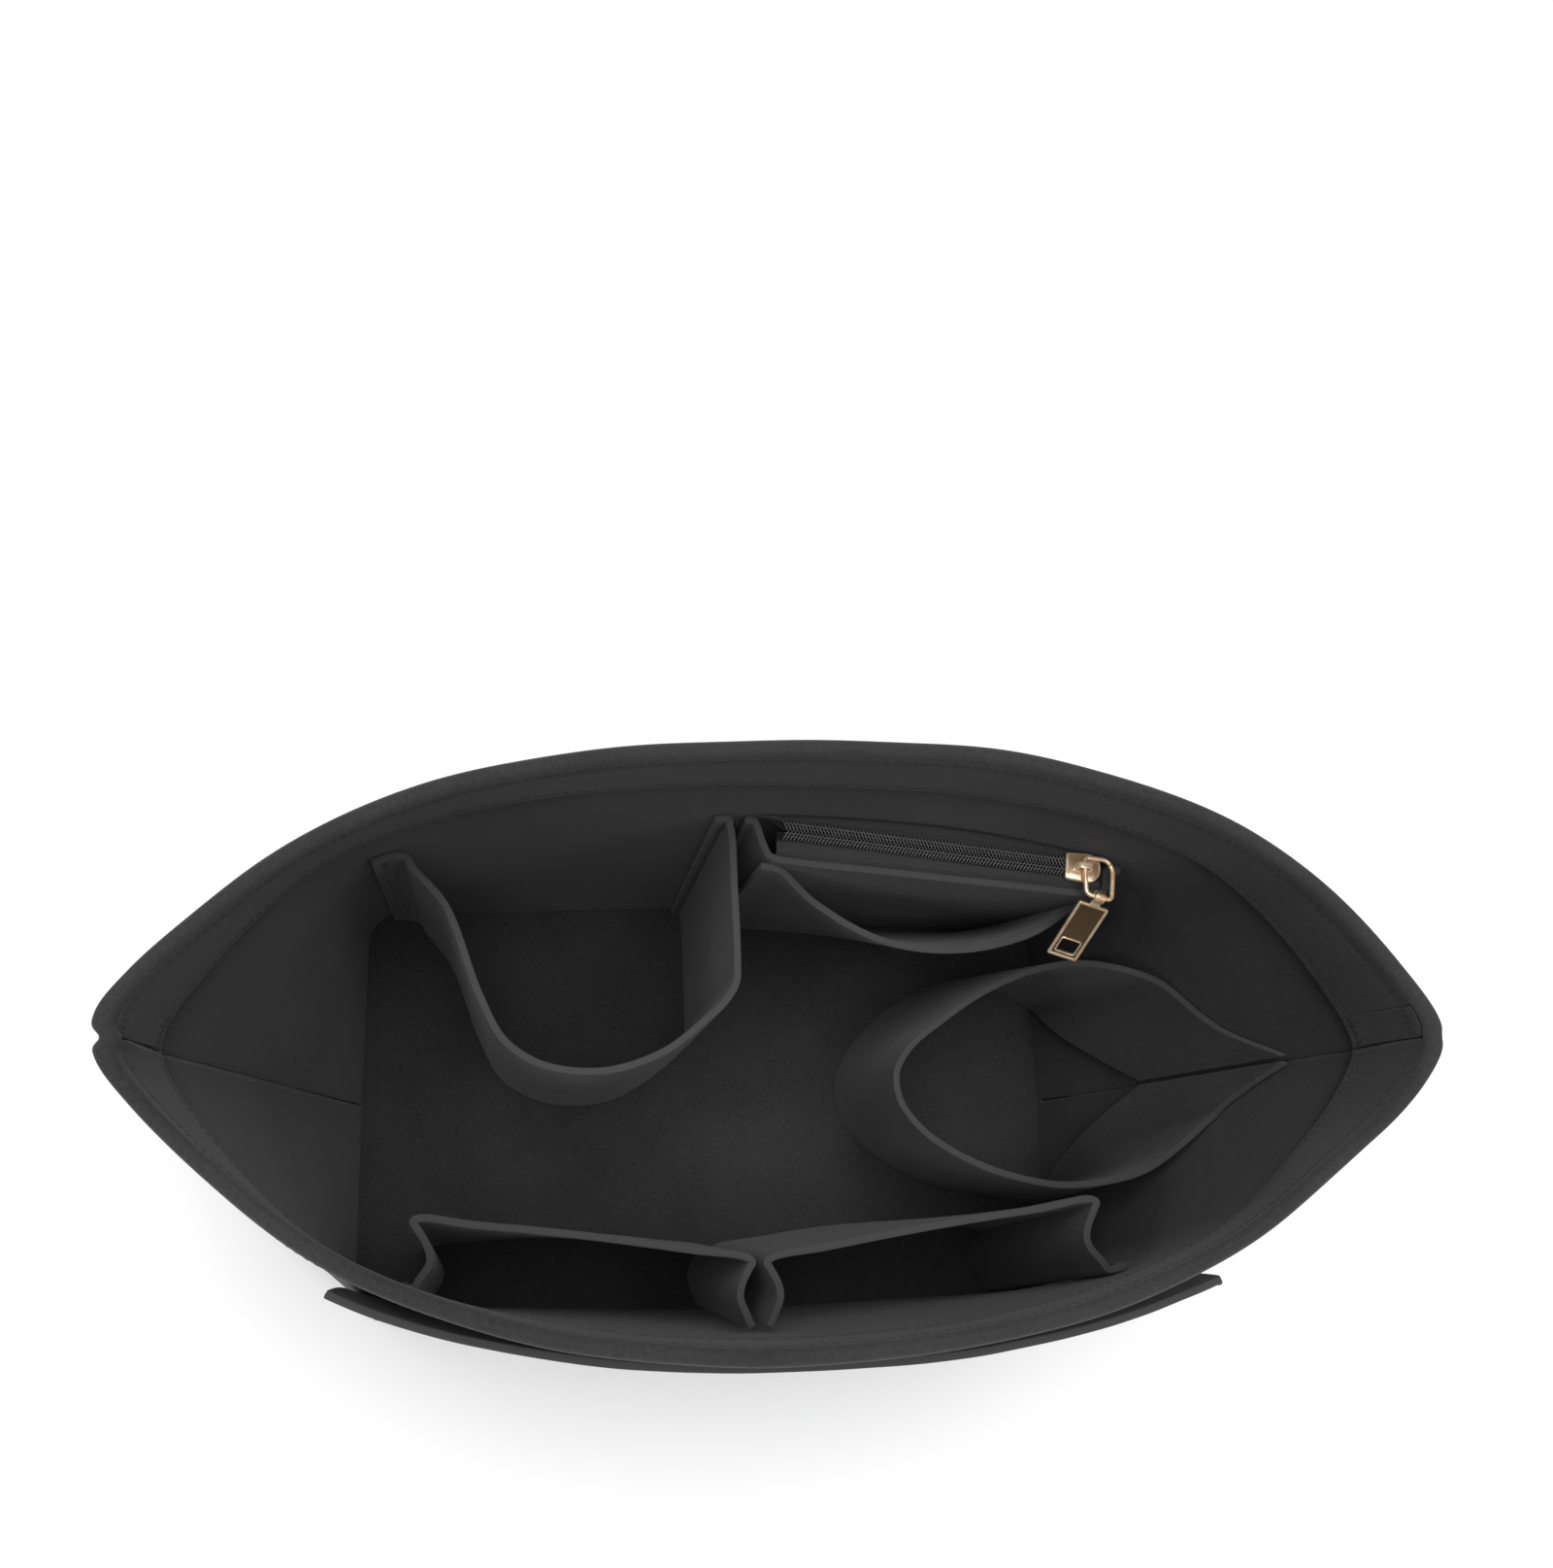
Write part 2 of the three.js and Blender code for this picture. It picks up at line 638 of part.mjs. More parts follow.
function loopFootLine() {
  const onWall = (side, t) => loopWallPoint(
    side,
    loopSeamMargin + t * loopWallRun,
    mix(loopSeamHeight, loopFloor, t),
    loopLay + loopBelly * Math.sin(Math.PI * t),
  );
  const free = loopFootShares.map(([u, v]) => new THREE.Vector3(
    loopFootRight - u * loopReach,
    v * (v > 0 ? loopFootBackReach : loopFootFrontReach),
    loopFloor,
  ));
  const climb = ramp(climbSteps);
  return [...climb.map((t) => onWall(1, t)), ...free, ...climb.toReversed().map((t) => onWall(-1, t))];
}

function loopHeadLine() {
  const seam = [1, -1].map((side) => loopWallPoint(side, loopSeamMargin, loopSeamLevel));
  const onWall = (side) => loopWallShares.map(([u, w]) => (
    loopWallPoint(side, u * loopWallRun, mix(loopHeight, loopSeamLevel, w))
  ));
  const free = loopHeadShares.map(([u, v, w]) => new THREE.Vector3(
    seam[0].x - u * loopHeadReach,
    v * (v > 0 ? loopHeadBackReach : loopHeadFrontReach),
    mix(loopHeight, loopSeamLevel, w),
  ));
  return [seam[0], ...onWall(1), ...free, ...onWall(-1).toReversed(), seam[1]];
}

function bottleLoop() {
  const [foot, head] = [loopFootLine(), loopHeadLine()];
  const rows = ramp(stripRows).map((t) => {
    const controls = foot.map((point, i) => point.clone().lerp(head[i], t));
    const curve = new THREE.CatmullRomCurve3(controls, false, 'centripetal');
    const row = curve.getPoints((controls.length - 1) * stepsPerSpan);
    for (const point of row) point.z = Math.max(point.z, mix(loopFloor, loopHeight, t));
    return row;
  });
  return sheetSolid(rows, feltThickness);
}

add('bottle_loop', bottleLoop(), felt());

// The chain frame: its origin is on the chain under the slider at rest, its x runs along the
// chain towards the closed end and its z is up.
function chainSpot(x, offset) {
  const point = wallPoint(1, wallShare(1, x, chainLevel, feltThickness), chainLevel, feltThickness);
  point.y -= offset;
  return point;
}

const chainStart = chainSpot(chainLeft, chainLeftOffset);
const chainOrigin = chainSpot(chainRest, chainRestOffset);
const chainRun = chainStart.distanceTo(chainOrigin);
const chainAngle = Math.atan2(chainOrigin.y - chainStart.y, chainOrigin.x - chainStart.x);
const chainX = new THREE.Vector3(Math.cos(chainAngle), Math.sin(chainAngle), 0);
const chainY = new THREE.Vector3(-Math.sin(chainAngle), Math.cos(chainAngle), 0);
const onChain = (x, y, z) => chainOrigin.clone()
  .addScaledVector(chainX, x)
  .addScaledVector(chainY, y)
  .add(new THREE.Vector3(0, 0, z));

// Coils: a low rounded bar each side of the slot, on top of its tape.
const coilFoot = tapeThickness / 2 + seamGap / 3;
const coilShares = [[0, 0], [1, 0], [1, 0.55], [0.8, 0.9], [0.5, 1], [0.2, 0.9], [0, 0.55]];

function coil(side) {
  const outline = coilShares.map(([u, v]) => new THREE.Vector2(
    side * (chainSlot / 2 + u * coilWidth),
    coilFoot + v * coilHeight,
  ));
  const stations = [-chainRun, (coilEndRun - chainRun) / 2, coilEndRun];
  return sweptSolid(stations.map((x) => outline.map((p) => onChain(x, p.x, p.y))), outline);
}

add('zip_coil_back', coil(1), woven());
add('zip_coil_front', coil(-1), woven());

// Back tape: flat, from the slot to the wall's inner face. Front tape: flat under the slider, then
// down to the inner face of the zipped pocket's front.
const tapeStations = ramp(tapeSteps).map((t) => mix(-chainRun, tapeEndRun, t));

function backTape() {
  const inner = tapeStations.map((x) => onChain(x, chainSlot / 2, 0));
  const outer = inner.map((point) => {
    const share = wallShare(1, point.x, chainLevel, feltThickness);
    const reach = wallPoint(1, share, chainLevel, feltThickness + seamGap);
    return new THREE.Vector3(point.x, reach.y - seamGap, chainLevel);
  });
  return sheetSolid([inner, outer], tapeThickness);
}

function frontTape() {
  const inner = tapeStations.map((x) => onChain(x, -chainSlot / 2, 0));
  const outer = tapeStations.map((x) => {
    const point = onChain(x, -tapeFlatWidth, -tapeDrop);
    point.y = zipPanelPoint(point.x, point.z).y + feltThickness / 2 + 2 * seamGap;
    return point;
  });
  const flat = tapeStations.map((x, i) => {
    const point = onChain(x, -tapeFlatWidth, 0);
    point.y = Math.max(point.y, outer[i].y);
    return point;
  });
  return sheetSolid([inner, flat, outer], tapeThickness);
}

add('zip_tape_back', backTape(), woven());
add('zip_tape_front', frontTape(), woven());

// Solids that are cut and joined.
function solid(geometry) {
  const bare = geometry.clone();
  bare.deleteAttribute('normal');
  bare.deleteAttribute('uv');
  const merged = mergeVertices(bare);
  return new wasm.Manifold(new wasm.Mesh({
    numProp: 3,
    vertProperties: new Float32Array(merged.attributes.position.array),
    triVerts: new Uint32Array(merged.index.array),
  }));
}

function geometryOf(manifold) {
  const mesh = manifold.getMesh();
  const geometry = new THREE.BufferGeometry();
  geometry.setAttribute('position', new THREE.BufferAttribute(new Float32Array(mesh.vertProperties), 3));
  geometry.setIndex(Array.from(mesh.triVerts));
  geometry.computeVertexNormals();
  return geometry;
}

const bar = (x, y, z, centre) => new THREE.BoxGeometry(x, y, z).translate(...centre);

function roundedOutline(corners, radii) {
  const shape = new THREE.Shape();
  corners.forEach((corner, i) => {
    const before = corners[(i + corners.length - 1) % corners.length];
    const after = corners[(i + 1) % corners.length];
    const from = corner.clone().add(before.clone().sub(corner).setLength(radii[i]));
    const to = corner.clone().add(after.clone().sub(corner).setLength(radii[i]));
    if (i === 0) shape.moveTo(from.x, from.y);
    else shape.lineTo(from.x, from.y);
    shape.quadraticCurveTo(corner.x, corner.y, to.x, to.y);
  });
  shape.closePath();
  return shape;
}

function block(shape, depth, foot) {
  const options = { depth, bevelEnabled: false, curveSegments: cornerSteps };
  return new THREE.ExtrudeGeometry(shape, options).translate(0, 0, foot);
}

// Slider: a top channel over the coils and a bottom plate under the tapes, joined by the divider
// in the slot between the coils, with an arch on top that holds the ring. Its own frame is the
// chain frame.
const channelTop = coilFoot + coilHeight + sliderClearance;
const topFace = channelTop + sliderPlate;
const slotFoot = -sliderSlot / 2;
const slotHead = sliderSlot / 2;
const channelHalf = chainSlot / 2 + coilWidth + sliderClearance;
const ringLevel = topFace + wireClearance + wireDiameter / 2;

// An arch seen from the side: straight feet, round shoulders and a flat crown.
function archOutline(half, foot, head) {
  const outline = new THREE.Path();
  outline.moveTo(half, foot);
  outline.lineTo(half, head / 2);
  outline.quadraticCurveTo(half, head, half / 2, head);
  outline.lineTo(-half / 2, head);
  outline.quadraticCurveTo(-half, head, -half, head / 2);
  outline.lineTo(-half, foot);
  return outline.getPoints(cornerSteps);
}

const cornerPoints = (pairs) => pairs.map(([x, y]) => new THREE.Vector2(x, y));

function sliderSolid() {
  const [nose, tail, front] = [sliderNoseWidth / 2, sliderTailWidth / 2, sliderLength / 2];
  const corners = cornerPoints([[-front, -tail], [front, -nose], [front, nose], [-front, tail]]);
  const plan = roundedOutline(corners, corners.map(() => sliderCornerRadius));
  const top = solid(block(plan, topFace - slotHead, slotHead));
  const bottom = solid(block(plan, sliderPlate, slotFoot - sliderPlate));
  const channelLength = sliderLength + 2 * overrun;
  const channel = solid(bar(channelLength, 2 * channelHalf, channelTop, [0, 0, channelTop / 2]));
  const [dividerFoot, dividerHead] = [slotFoot - sliderPlate / 2, topFace - sliderPlate / 2];
  const dividerX = front - dividerInset - dividerLength / 2;
  const dividerHeight = dividerHead - dividerFoot;
  const dividerCentre = [dividerX, 0, (dividerHead + dividerFoot) / 2];
  const divider = solid(bar(dividerLength, dividerWidth, dividerHeight, dividerCentre));
  const archShape = new THREE.Shape(archOutline(archLength / 2, 0, archHeight));
  const hole = archOutline(archLength / 2 - archWall, sliderPlate / 2, archHeight - archWall);
  archShape.holes.push(new THREE.Path(hole));
  const arch = new THREE.ExtrudeGeometry(archShape, { depth: archWidth, bevelEnabled: false })
    .translate(0, 0, -archWidth / 2)
    .rotateX(Math.PI / 2)
    .translate(0, 0, topFace - sliderPlate / 2);
  return top.subtract(channel).add(bottom).add(divider).add(solid(arch));
}

const chainFrame = new THREE.Matrix4().makeRotationZ(chainAngle).setPosition(chainOrigin);
add('zip_slider', geometryOf(sliderSolid()).applyMatrix4(chainFrame), gold());

// Ring: a rounded four-sided wire loop. Its left side passes under the arch and is its hinge, and
// it droops a little towards its far side.
const [ringTopShare, ringSideShare] = [0.78, 0.1];
const ringCorners = cornerPoints([
  [-ringSkew * ringBackReach / ringFrontReach, ringBackReach],
  [ringTopShare * ringLength, ringBackReach],
  [ringLength, ringSideShare * ringBackReach],
  [ringLength, -ringFrontReach - ringSkew],
  [ringSkew, -ringFrontReach],
]);
const hingeLine = ringCorners[0].clone().sub(ringCorners[4]).normalize();

function onRing(x, y) {
  const point = new THREE.Vector3(x, y, 0);
  const axis = new THREE.Vector3(hingeLine.x, hingeLine.y, 0);
  point.applyAxisAngle(axis, THREE.MathUtils.degToRad(ringDroopAngle));
  return onChain(point.x, point.y, point.z + ringLevel);
}

function pullRing() {
  const path = roundedOutline(ringCorners, ringCorners.map(() => ringCornerRadius)).getPoints(cornerSteps);
  path.pop();
  const leastStep = wireDiameter / 100;
  const line = path.filter((p, i) => p.distanceTo(path[(i + 1) % path.length]) > leastStep);
  const centre = line.map((p) => onRing(p.x, p.y));
  const normal = new THREE.Vector3().crossVectors(
    centre[1].clone().sub(centre[0]),
    centre[Math.floor(centre.length / 2)].clone().sub(centre[0]),
  ).normalize();
  const rings = centre.map((point, i) => {
    const next = centre[(i + 1) % centre.length];
    const before = centre[(i + centre.length - 1) % centre.length];
    const across = new THREE.Vector3().subVectors(next, before).normalize().cross(normal).normalize();
    return ramp(wireSides).slice(1).map((t) => {
      const angle = 2 * Math.PI * t;
      return point.clone()
        .addScaledVector(across, wireDiameter / 2 * Math.cos(angle))
        .addScaledVector(normal, wireDiameter / 2 * Math.sin(angle));
    });
  });
  return sweptSolid(rings, null);
}

add('pull_ring', pullRing(), gold());

// Pull tab: a thin plate with a raised border and a slot near its end, hung on the ring's front
// side by a round eye, loose enough for the tab to hang a little askew. Its own frame has x along
// the eye, y along the plate and z out of it.
const eyeLeft = onRing(ringCorners[4].x, ringCorners[4].y);
const eyeRight = onRing(ringCorners[3].x, ringCorners[3].y);
const eyeCentre = eyeLeft.clone().lerp(eyeRight, 0.5);
const eyeAxis = eyeRight.clone().sub(eyeLeft).normalize();
const tabDroop = THREE.MathUtils.degToRad(tabDroopAngle);
const levelOut = new THREE.Vector3().crossVectors(eyeAxis, new THREE.Vector3(0, 0, 1)).normalize();
const down = new THREE.Vector3(0, 0, -1);
const tabAlong = levelOut.clone().multiplyScalar(Math.cos(tabDroop));
tabAlong.addScaledVector(down, Math.sin(tabDroop));
tabAlong.addScaledVector(eyeAxis, -tabAlong.dot(eyeAxis)).normalize();
const tabOut = new THREE.Vector3().crossVectors(eyeAxis, tabAlong).normalize();
const tabTilt = THREE.MathUtils.degToRad(tabTiltAngle);
const tabAcross = eyeAxis.clone().applyAxisAngle(tabOut, tabTilt);
tabAlong.applyAxisAngle(tabOut, tabTilt);
const eyeBore = wireDiameter / 2 + tabEyeClearance;
const eyeOuter = eyeBore + tabEyeWall;

function pullTab() {
  const [half, top, end] = [tabWidth / 2, eyeOuter + tabNeckLength / 2, tabLength];
  const face = cornerPoints([[-half, top], [half, top], [half, end], [-half, end]]);
  const plan = roundedOutline(face, face.map(() => tabCornerRadius));
  const plate = solid(block(plan, tabThickness, -tabThickness / 2));
  const neckBar = solid(bar(tabNeckWidth, top + overrun, tabThickness, [0, (top + overrun) / 2, 0]));
  const tube = (radius, length) => {
    const cylinder = new THREE.CylinderGeometry(radius, radius, length, eyeSides);
    return solid(cylinder.rotateZ(Math.PI / 2));
  };
  const [innerHalf, innerTop, innerEnd] = [half - tabBorder, top + tabBorder, end - tabBorder];
  const inner = cornerPoints([
    [-innerHalf, innerTop], [innerHalf, innerTop], [innerHalf, innerEnd], [-innerHalf, innerEnd],
  ]);
  const recessPlan = roundedOutline(inner, inner.map(() => tabCornerRadius / 2));
  const recess = [tabThickness / 2 - tabRecess, -tabThickness / 2 - overrun].map((foot) => (
    solid(block(recessPlan, tabRecess + overrun, foot))
  ));
  const slotCentre = tabLength - tabSlotMargin - tabSlotLength / 2;
  const rimSize = [tabSlotWidth + 2 * tabRecess, tabSlotLength + 2 * tabRecess, tabThickness];
  const rim = solid(bar(...rimSize, [0, slotCentre, 0]));
  const slot = solid(bar(tabSlotWidth, tabSlotLength, tabThickness + 2 * overrun, [0, slotCentre, 0]));
  return plate
    .subtract(recess[0]).subtract(recess[1])
    .add(rim).subtract(slot)
    .add(neckBar)
    .add(tube(eyeOuter, tabNeckWidth))
    .subtract(tube(eyeBore, tabNeckWidth + 2 * overrun));
}

const tabFrame = new THREE.Matrix4().makeBasis(tabAcross, tabAlong, tabOut).setPosition(eyeCentre);
add('pull_tab', geometryOf(pullTab()).applyMatrix4(tabFrame), gold());

// Thread bars: short stitched bars that lie on the felt at pocket corners.
function tack(name, side, x, headLevel, inset, standoff = () => 0) {
  const levels = [headLevel - tackEdgeMargin - tackLength, headLevel - tackEdgeMargin];
  const middle = wallShare(side, x, headLevel, feltThickness);
  const half = tackWidth / 2 / backRuns[rimSteps];
  const shares = [middle - half, middle + half];
  add(name, wallPatch(side, shares, levels, inset, tackThickness, standoff), thread());
}

const outerFace = outerPocketLay - feltThickness / 2 - 2 * seamGap - tackThickness / 2;
const innerFace = wallLay + feltThickness / 2 + seamGap + tackThickness / 2;
const outerTackX = outerPocketWidth / 2 - tackEdgeMargin;
tack('outer_pocket_left_tack', -1, -outerTackX, outerPocketHeight, outerFace, outerGape);
tack('outer_pocket_right_tack', -1, outerTackX, outerPocketHeight, outerFace, outerGape);
tack('wallet_pocket_left_tack', 1, walletLeft - walletLeftTab + tackEdgeMargin, walletHeight, innerFace);
tack('wallet_pocket_right_tack', 1, walletRight - walletRightTab + tackEdgeMargin, walletHeight, innerFace);
const bellowsTackReach = bellowsEndTab - tackEdgeMargin;
tack('front_left_pocket_tack', -1, bellowsOuterEnd(-1).wall - bellowsTackReach, bellowsHeight, innerFace);
tack('front_right_pocket_tack', -1, bellowsOuterEnd(1).wall + bellowsTackReach, bellowsHeight, innerFace);

// The origin is under the middle of the whole piece.
const middle = new THREE.Box3().setFromObject(organizer).getCenter(new THREE.Vector3());
for (const mesh of organizer.children) mesh.position.set(-middle.x, -middle.y, 0);

export default organizer;
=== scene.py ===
# %% [markdown]
# # A felt organizer for a handbag
# The real object is sewn from 2.6 mm pressed felt: two walls whose tops are folded inwards, a
# base, pockets that are single standing strips, and one zip. A CAD model already fixes where
# every piece is. This lesson dresses it: each felt panel is worked out again as a fine surface,
# with cut edges, seams, stitches and a zip that has real teeth.

# %% Load the fixed frame
import json
import math

import bpy
import numpy as np
from mathutils import Matrix, Vector


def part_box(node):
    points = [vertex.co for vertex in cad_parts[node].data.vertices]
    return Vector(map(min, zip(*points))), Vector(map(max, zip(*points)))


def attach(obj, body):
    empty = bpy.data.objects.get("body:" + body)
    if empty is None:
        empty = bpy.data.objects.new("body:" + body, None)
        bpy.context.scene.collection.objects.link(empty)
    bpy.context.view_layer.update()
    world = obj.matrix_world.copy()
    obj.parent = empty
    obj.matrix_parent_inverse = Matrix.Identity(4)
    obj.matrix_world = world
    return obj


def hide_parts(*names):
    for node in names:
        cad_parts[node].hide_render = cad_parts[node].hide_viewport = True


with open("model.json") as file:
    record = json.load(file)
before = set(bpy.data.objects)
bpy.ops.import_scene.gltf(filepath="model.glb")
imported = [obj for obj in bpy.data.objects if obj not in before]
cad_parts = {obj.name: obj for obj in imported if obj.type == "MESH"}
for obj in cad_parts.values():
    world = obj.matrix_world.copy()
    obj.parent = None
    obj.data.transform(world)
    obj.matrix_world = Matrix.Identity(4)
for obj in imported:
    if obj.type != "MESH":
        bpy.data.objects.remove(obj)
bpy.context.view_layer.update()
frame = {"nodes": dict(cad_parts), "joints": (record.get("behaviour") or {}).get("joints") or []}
print("CAD nodes:", len(frame["nodes"]))

# %% [markdown]
# ## Camera
# The photograph looks down into the organizer from a little in front of its middle. A camera in
# Blender looks along its own -Z, so its place and three small turns are enough, and the focal
# length in pixels becomes a lens in millimetres through the sensor's size.

# %% Set the camera
MM = 0.001
PHOTO_LONG_SIDE = 1615
CAMERA_PLACE = np.array([-94.3, -60.44, 787.1]) * MM
CAMERA_TILT, CAMERA_PAN, CAMERA_ROLL = np.radians([14.83, -8.87, 1.24])
FOCAL_PIXELS = 1843


def placed(name, data):
    """A new object of the scene that shows the data."""
    thing = bpy.data.objects.new(name, data)
    bpy.context.scene.collection.objects.link(thing)
    return thing


camera_data = bpy.data.cameras.new("camera")
camera_data.lens = FOCAL_PIXELS * camera_data.sensor_width / PHOTO_LONG_SIDE
camera = placed("camera", camera_data)
camera_turn = (
    Matrix.Rotation(CAMERA_TILT, 4, "X")
    @ Matrix.Rotation(CAMERA_PAN, 4, "Y")
    @ Matrix.Rotation(CAMERA_ROLL, 4, "Z")
)
camera.matrix_world = Matrix.Translation(CAMERA_PLACE) @ camera_turn
bpy.context.scene.camera = camera
print("lens in mm:", round(camera_data.lens, 2))

# %% [markdown]
# ## Floor and light
# Dark felt shows its form only through soft light that reaches into the pockets, so the whole
# sky is a pale, even light and a sun with a very wide disc gives the folds a direction. Two narrow
# lamps are too weak to change the felt, but draw bright lines on the metal of the zip.

# %% Make the floor and the lamps
FLOOR_SIZE = 9.0
FLOOR_COLOUR = (0.86, 0.86, 0.86, 1)
SKY_COLOUR = (1.0, 1.0, 1.0, 1)
SKY_STRENGTH = 0.42
SUN_STRENGTH = 2.65
SUN_SPREAD = 44.0
SUN_TILT, SUN_PAN = np.radians([-3.0, -1.2])
LAMP_AIM = (0.12, 0.05, 0.17)


def plain_material(name, colour, roughness):
    """A material of one colour, for the stage only."""
    material = bpy.data.materials.new(name)
    material.use_nodes = True
    shader = material.node_tree.nodes["Principled BSDF"]
    shader.inputs["Base Color"].default_value = colour
    shader.inputs["Roughness"].default_value = roughness
    return material


half_floor = FLOOR_SIZE / 2
floor_mesh = bpy.data.meshes.new("floor")
floor_corners = [(-half_floor, -half_floor, 0), (half_floor, -half_floor, 0)]
floor_corners += [(half_floor, half_floor, 0), (-half_floor, half_floor, 0)]
floor_mesh.from_pydata(floor_corners, [], [(0, 1, 2, 3)])
floor = placed("floor", floor_mesh)
floor_mesh.materials.append(plain_material("pale_floor", FLOOR_COLOUR, 0.7))

world = bpy.data.worlds.new("studio")
world.use_nodes = True
sky = world.node_tree.nodes["Background"]
sky.inputs["Color"].default_value = SKY_COLOUR
sky.inputs["Strength"].default_value = SKY_STRENGTH
bpy.context.scene.world = world
bpy.context.scene.view_settings.view_transform = "Standard"


def lamp(name, place, size, power):
    """A rectangular area lamp at a place in metres. It points at the zip's slider."""
    data = bpy.data.lights.new(name, "AREA")
    data.shape = "RECTANGLE"
    data.size, data.size_y = size
    data.energy = power
    direction = np.array(place) - np.array(LAMP_AIM)
    turn = Vector(direction).to_track_quat("Z", "Y").to_matrix().to_4x4()
    placed(name, data).matrix_world = Matrix.Translation(place) @ turn


lamp("right_lamp", place=(0.9, -0.8, 1.1), size=(0.12, 0.5), power=2)
lamp("left_lamp", place=(-0.9, -0.2, 0.9), size=(0.1, 0.45), power=1.5)
sun_data = bpy.data.lights.new("soft_sun", "SUN")
sun_data.energy = SUN_STRENGTH
sun_data.angle = math.radians(SUN_SPREAD)
sun_turn = Matrix.Rotation(SUN_TILT, 4, "X") @ Matrix.Rotation(SUN_PAN, 4, "Y")
placed("soft_sun", sun_data).matrix_world = sun_turn
print("lamps and floor are in place")

# %% [markdown]
# ## From arrays to meshes
# Every felt piece starts as a grid of centre points, worked out as one numpy array. Half the
# felt's thickness is added on both sides along the grid's normals, and a rounded band closes the
# border, which gives the blunt cut edge of pressed felt. A number kept on each vertex says how
# much it lies on a cut, so that the material can make cuts paler.

# %% Mesh helpers
# The same cut attribute carries painted shade on the zip's lower strands and under its springs, and painted
# highlight on the gold.
FELT = 2.6
CUT_BULGE = 0.42
CUT_STEPS = 5
SQUARENESS = 0.55


def unit(vectors):
    """Vectors over their own length, along the last axis."""
    length = np.linalg.norm(vectors, axis=-1, keepdims=True)
    return vectors / np.maximum(length, 1e-9)


def make_object(name, points, faces, material, node=None, body="root", extra=(), cut=None):
    """Puts an array of points in mm and rows of four indices into a mesh. extra holds faces of
    other counts, cut is a number per point that is kept as an attribute, and node is the CAD node
    that the object takes the place of."""
    mesh = bpy.data.meshes.new(name)
    faces = np.asarray(faces, np.int32).reshape(-1, 4)
    extra = [np.asarray(face, np.int32) for face in extra]
    loops = np.concatenate([faces.ravel(), *extra])
    totals = np.concatenate([np.full(len(faces), 4), [len(face) for face in extra]]).astype(np.int32)
    starts = np.concatenate([[0], np.cumsum(totals)[:-1]]).astype(np.int32)
    mesh.vertices.add(len(points))
    mesh.vertices.foreach_set("co", (np.asarray(points) * MM).astype(np.float32).ravel())
    mesh.loops.add(len(loops))
    mesh.loops.foreach_set("vertex_index", loops)
    mesh.polygons.add(len(totals))
    mesh.polygons.foreach_set("loop_start", starts)
    mesh.polygons.foreach_set("use_smooth", np.full(len(totals), True))
    if cut is not None:
        values = mesh.attributes.new("cut", "FLOAT", "POINT")
        values.data.foreach_set("value", np.asarray(cut, np.float32))
    mesh.update(calc_edges=True)
    mesh.validate()
    mesh.materials.append(material)
    thing = placed(name, mesh)
    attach(thing, body)
    if node:
        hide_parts(node)
    print(name, "faces:", len(totals))


def grid_faces(rows, columns, start=0, flip=False):
    """The four corners of every cell of a grid of points that are numbered row by row."""
    first = start + np.arange(rows - 1)[:, None] * columns + np.arange(columns - 1)[None, :]
    faces = np.stack([first, first + 1, first + columns + 1, first + columns], -1).reshape(-1, 4)
    return faces[:, ::-1] if flip else faces


def band_faces(loops):
    """Faces between closed loops of points, each a row of indices."""
    after = np.roll(loops, -1, axis=1)
    faces = np.stack([loops[:-1], after[:-1], after[1:], loops[1:]], -1)
    return faces.reshape(-1, 4)


def grid_normals(grid):
    """The normal at each point of a grid: the cross product of its two directions."""
    along = np.gradient(grid, axis=1)
    up = np.gradient(grid, axis=0)
    return unit(np.cross(along, up))


def outward(points, faces):
    """Turns all faces round if the closed mesh holds a negative volume."""
    a, b, c, d = (points[faces[:, k]] for k in range(4))
    volume = (a * (np.cross(b, c) + np.cross(c, d))).sum()
    return faces if volume > 0 else faces[:, ::-1]


def stacked(rings, closed=False):
    """A surface through rings of points of one count. An open stack is capped by its first and
    last ring, and a closed one joins its last ring to its first."""
    rings = np.asarray(rings, float)
    ids = np.arange(rings.shape[0] * rings.shape[1]).reshape(rings.shape[:2])
    points = rings.reshape(-1, 3)
    plain = band_faces(np.concatenate([ids, ids[:1]]) if closed else ids)
    faces = outward(points, plain)
    if closed:
        return points, faces, []
    same = np.array_equal(faces[0], plain[0])
    return points, faces, [ids[0][::-1], ids[-1]] if same else [ids[0], ids[-1][::-1]]


def joined(parts):
    """Several closed surfaces in one mesh: their points one after another, with indices moved."""
    points, faces, ends, start = [], [], [], 0
    for part_points, part_faces, part_ends in parts:
        points.append(part_points)
        faces.append(part_faces + start)
        ends += [np.asarray(end) + start for end in part_ends]
        start += len(part_points)
    return np.concatenate(points), np.concatenate(faces), ends


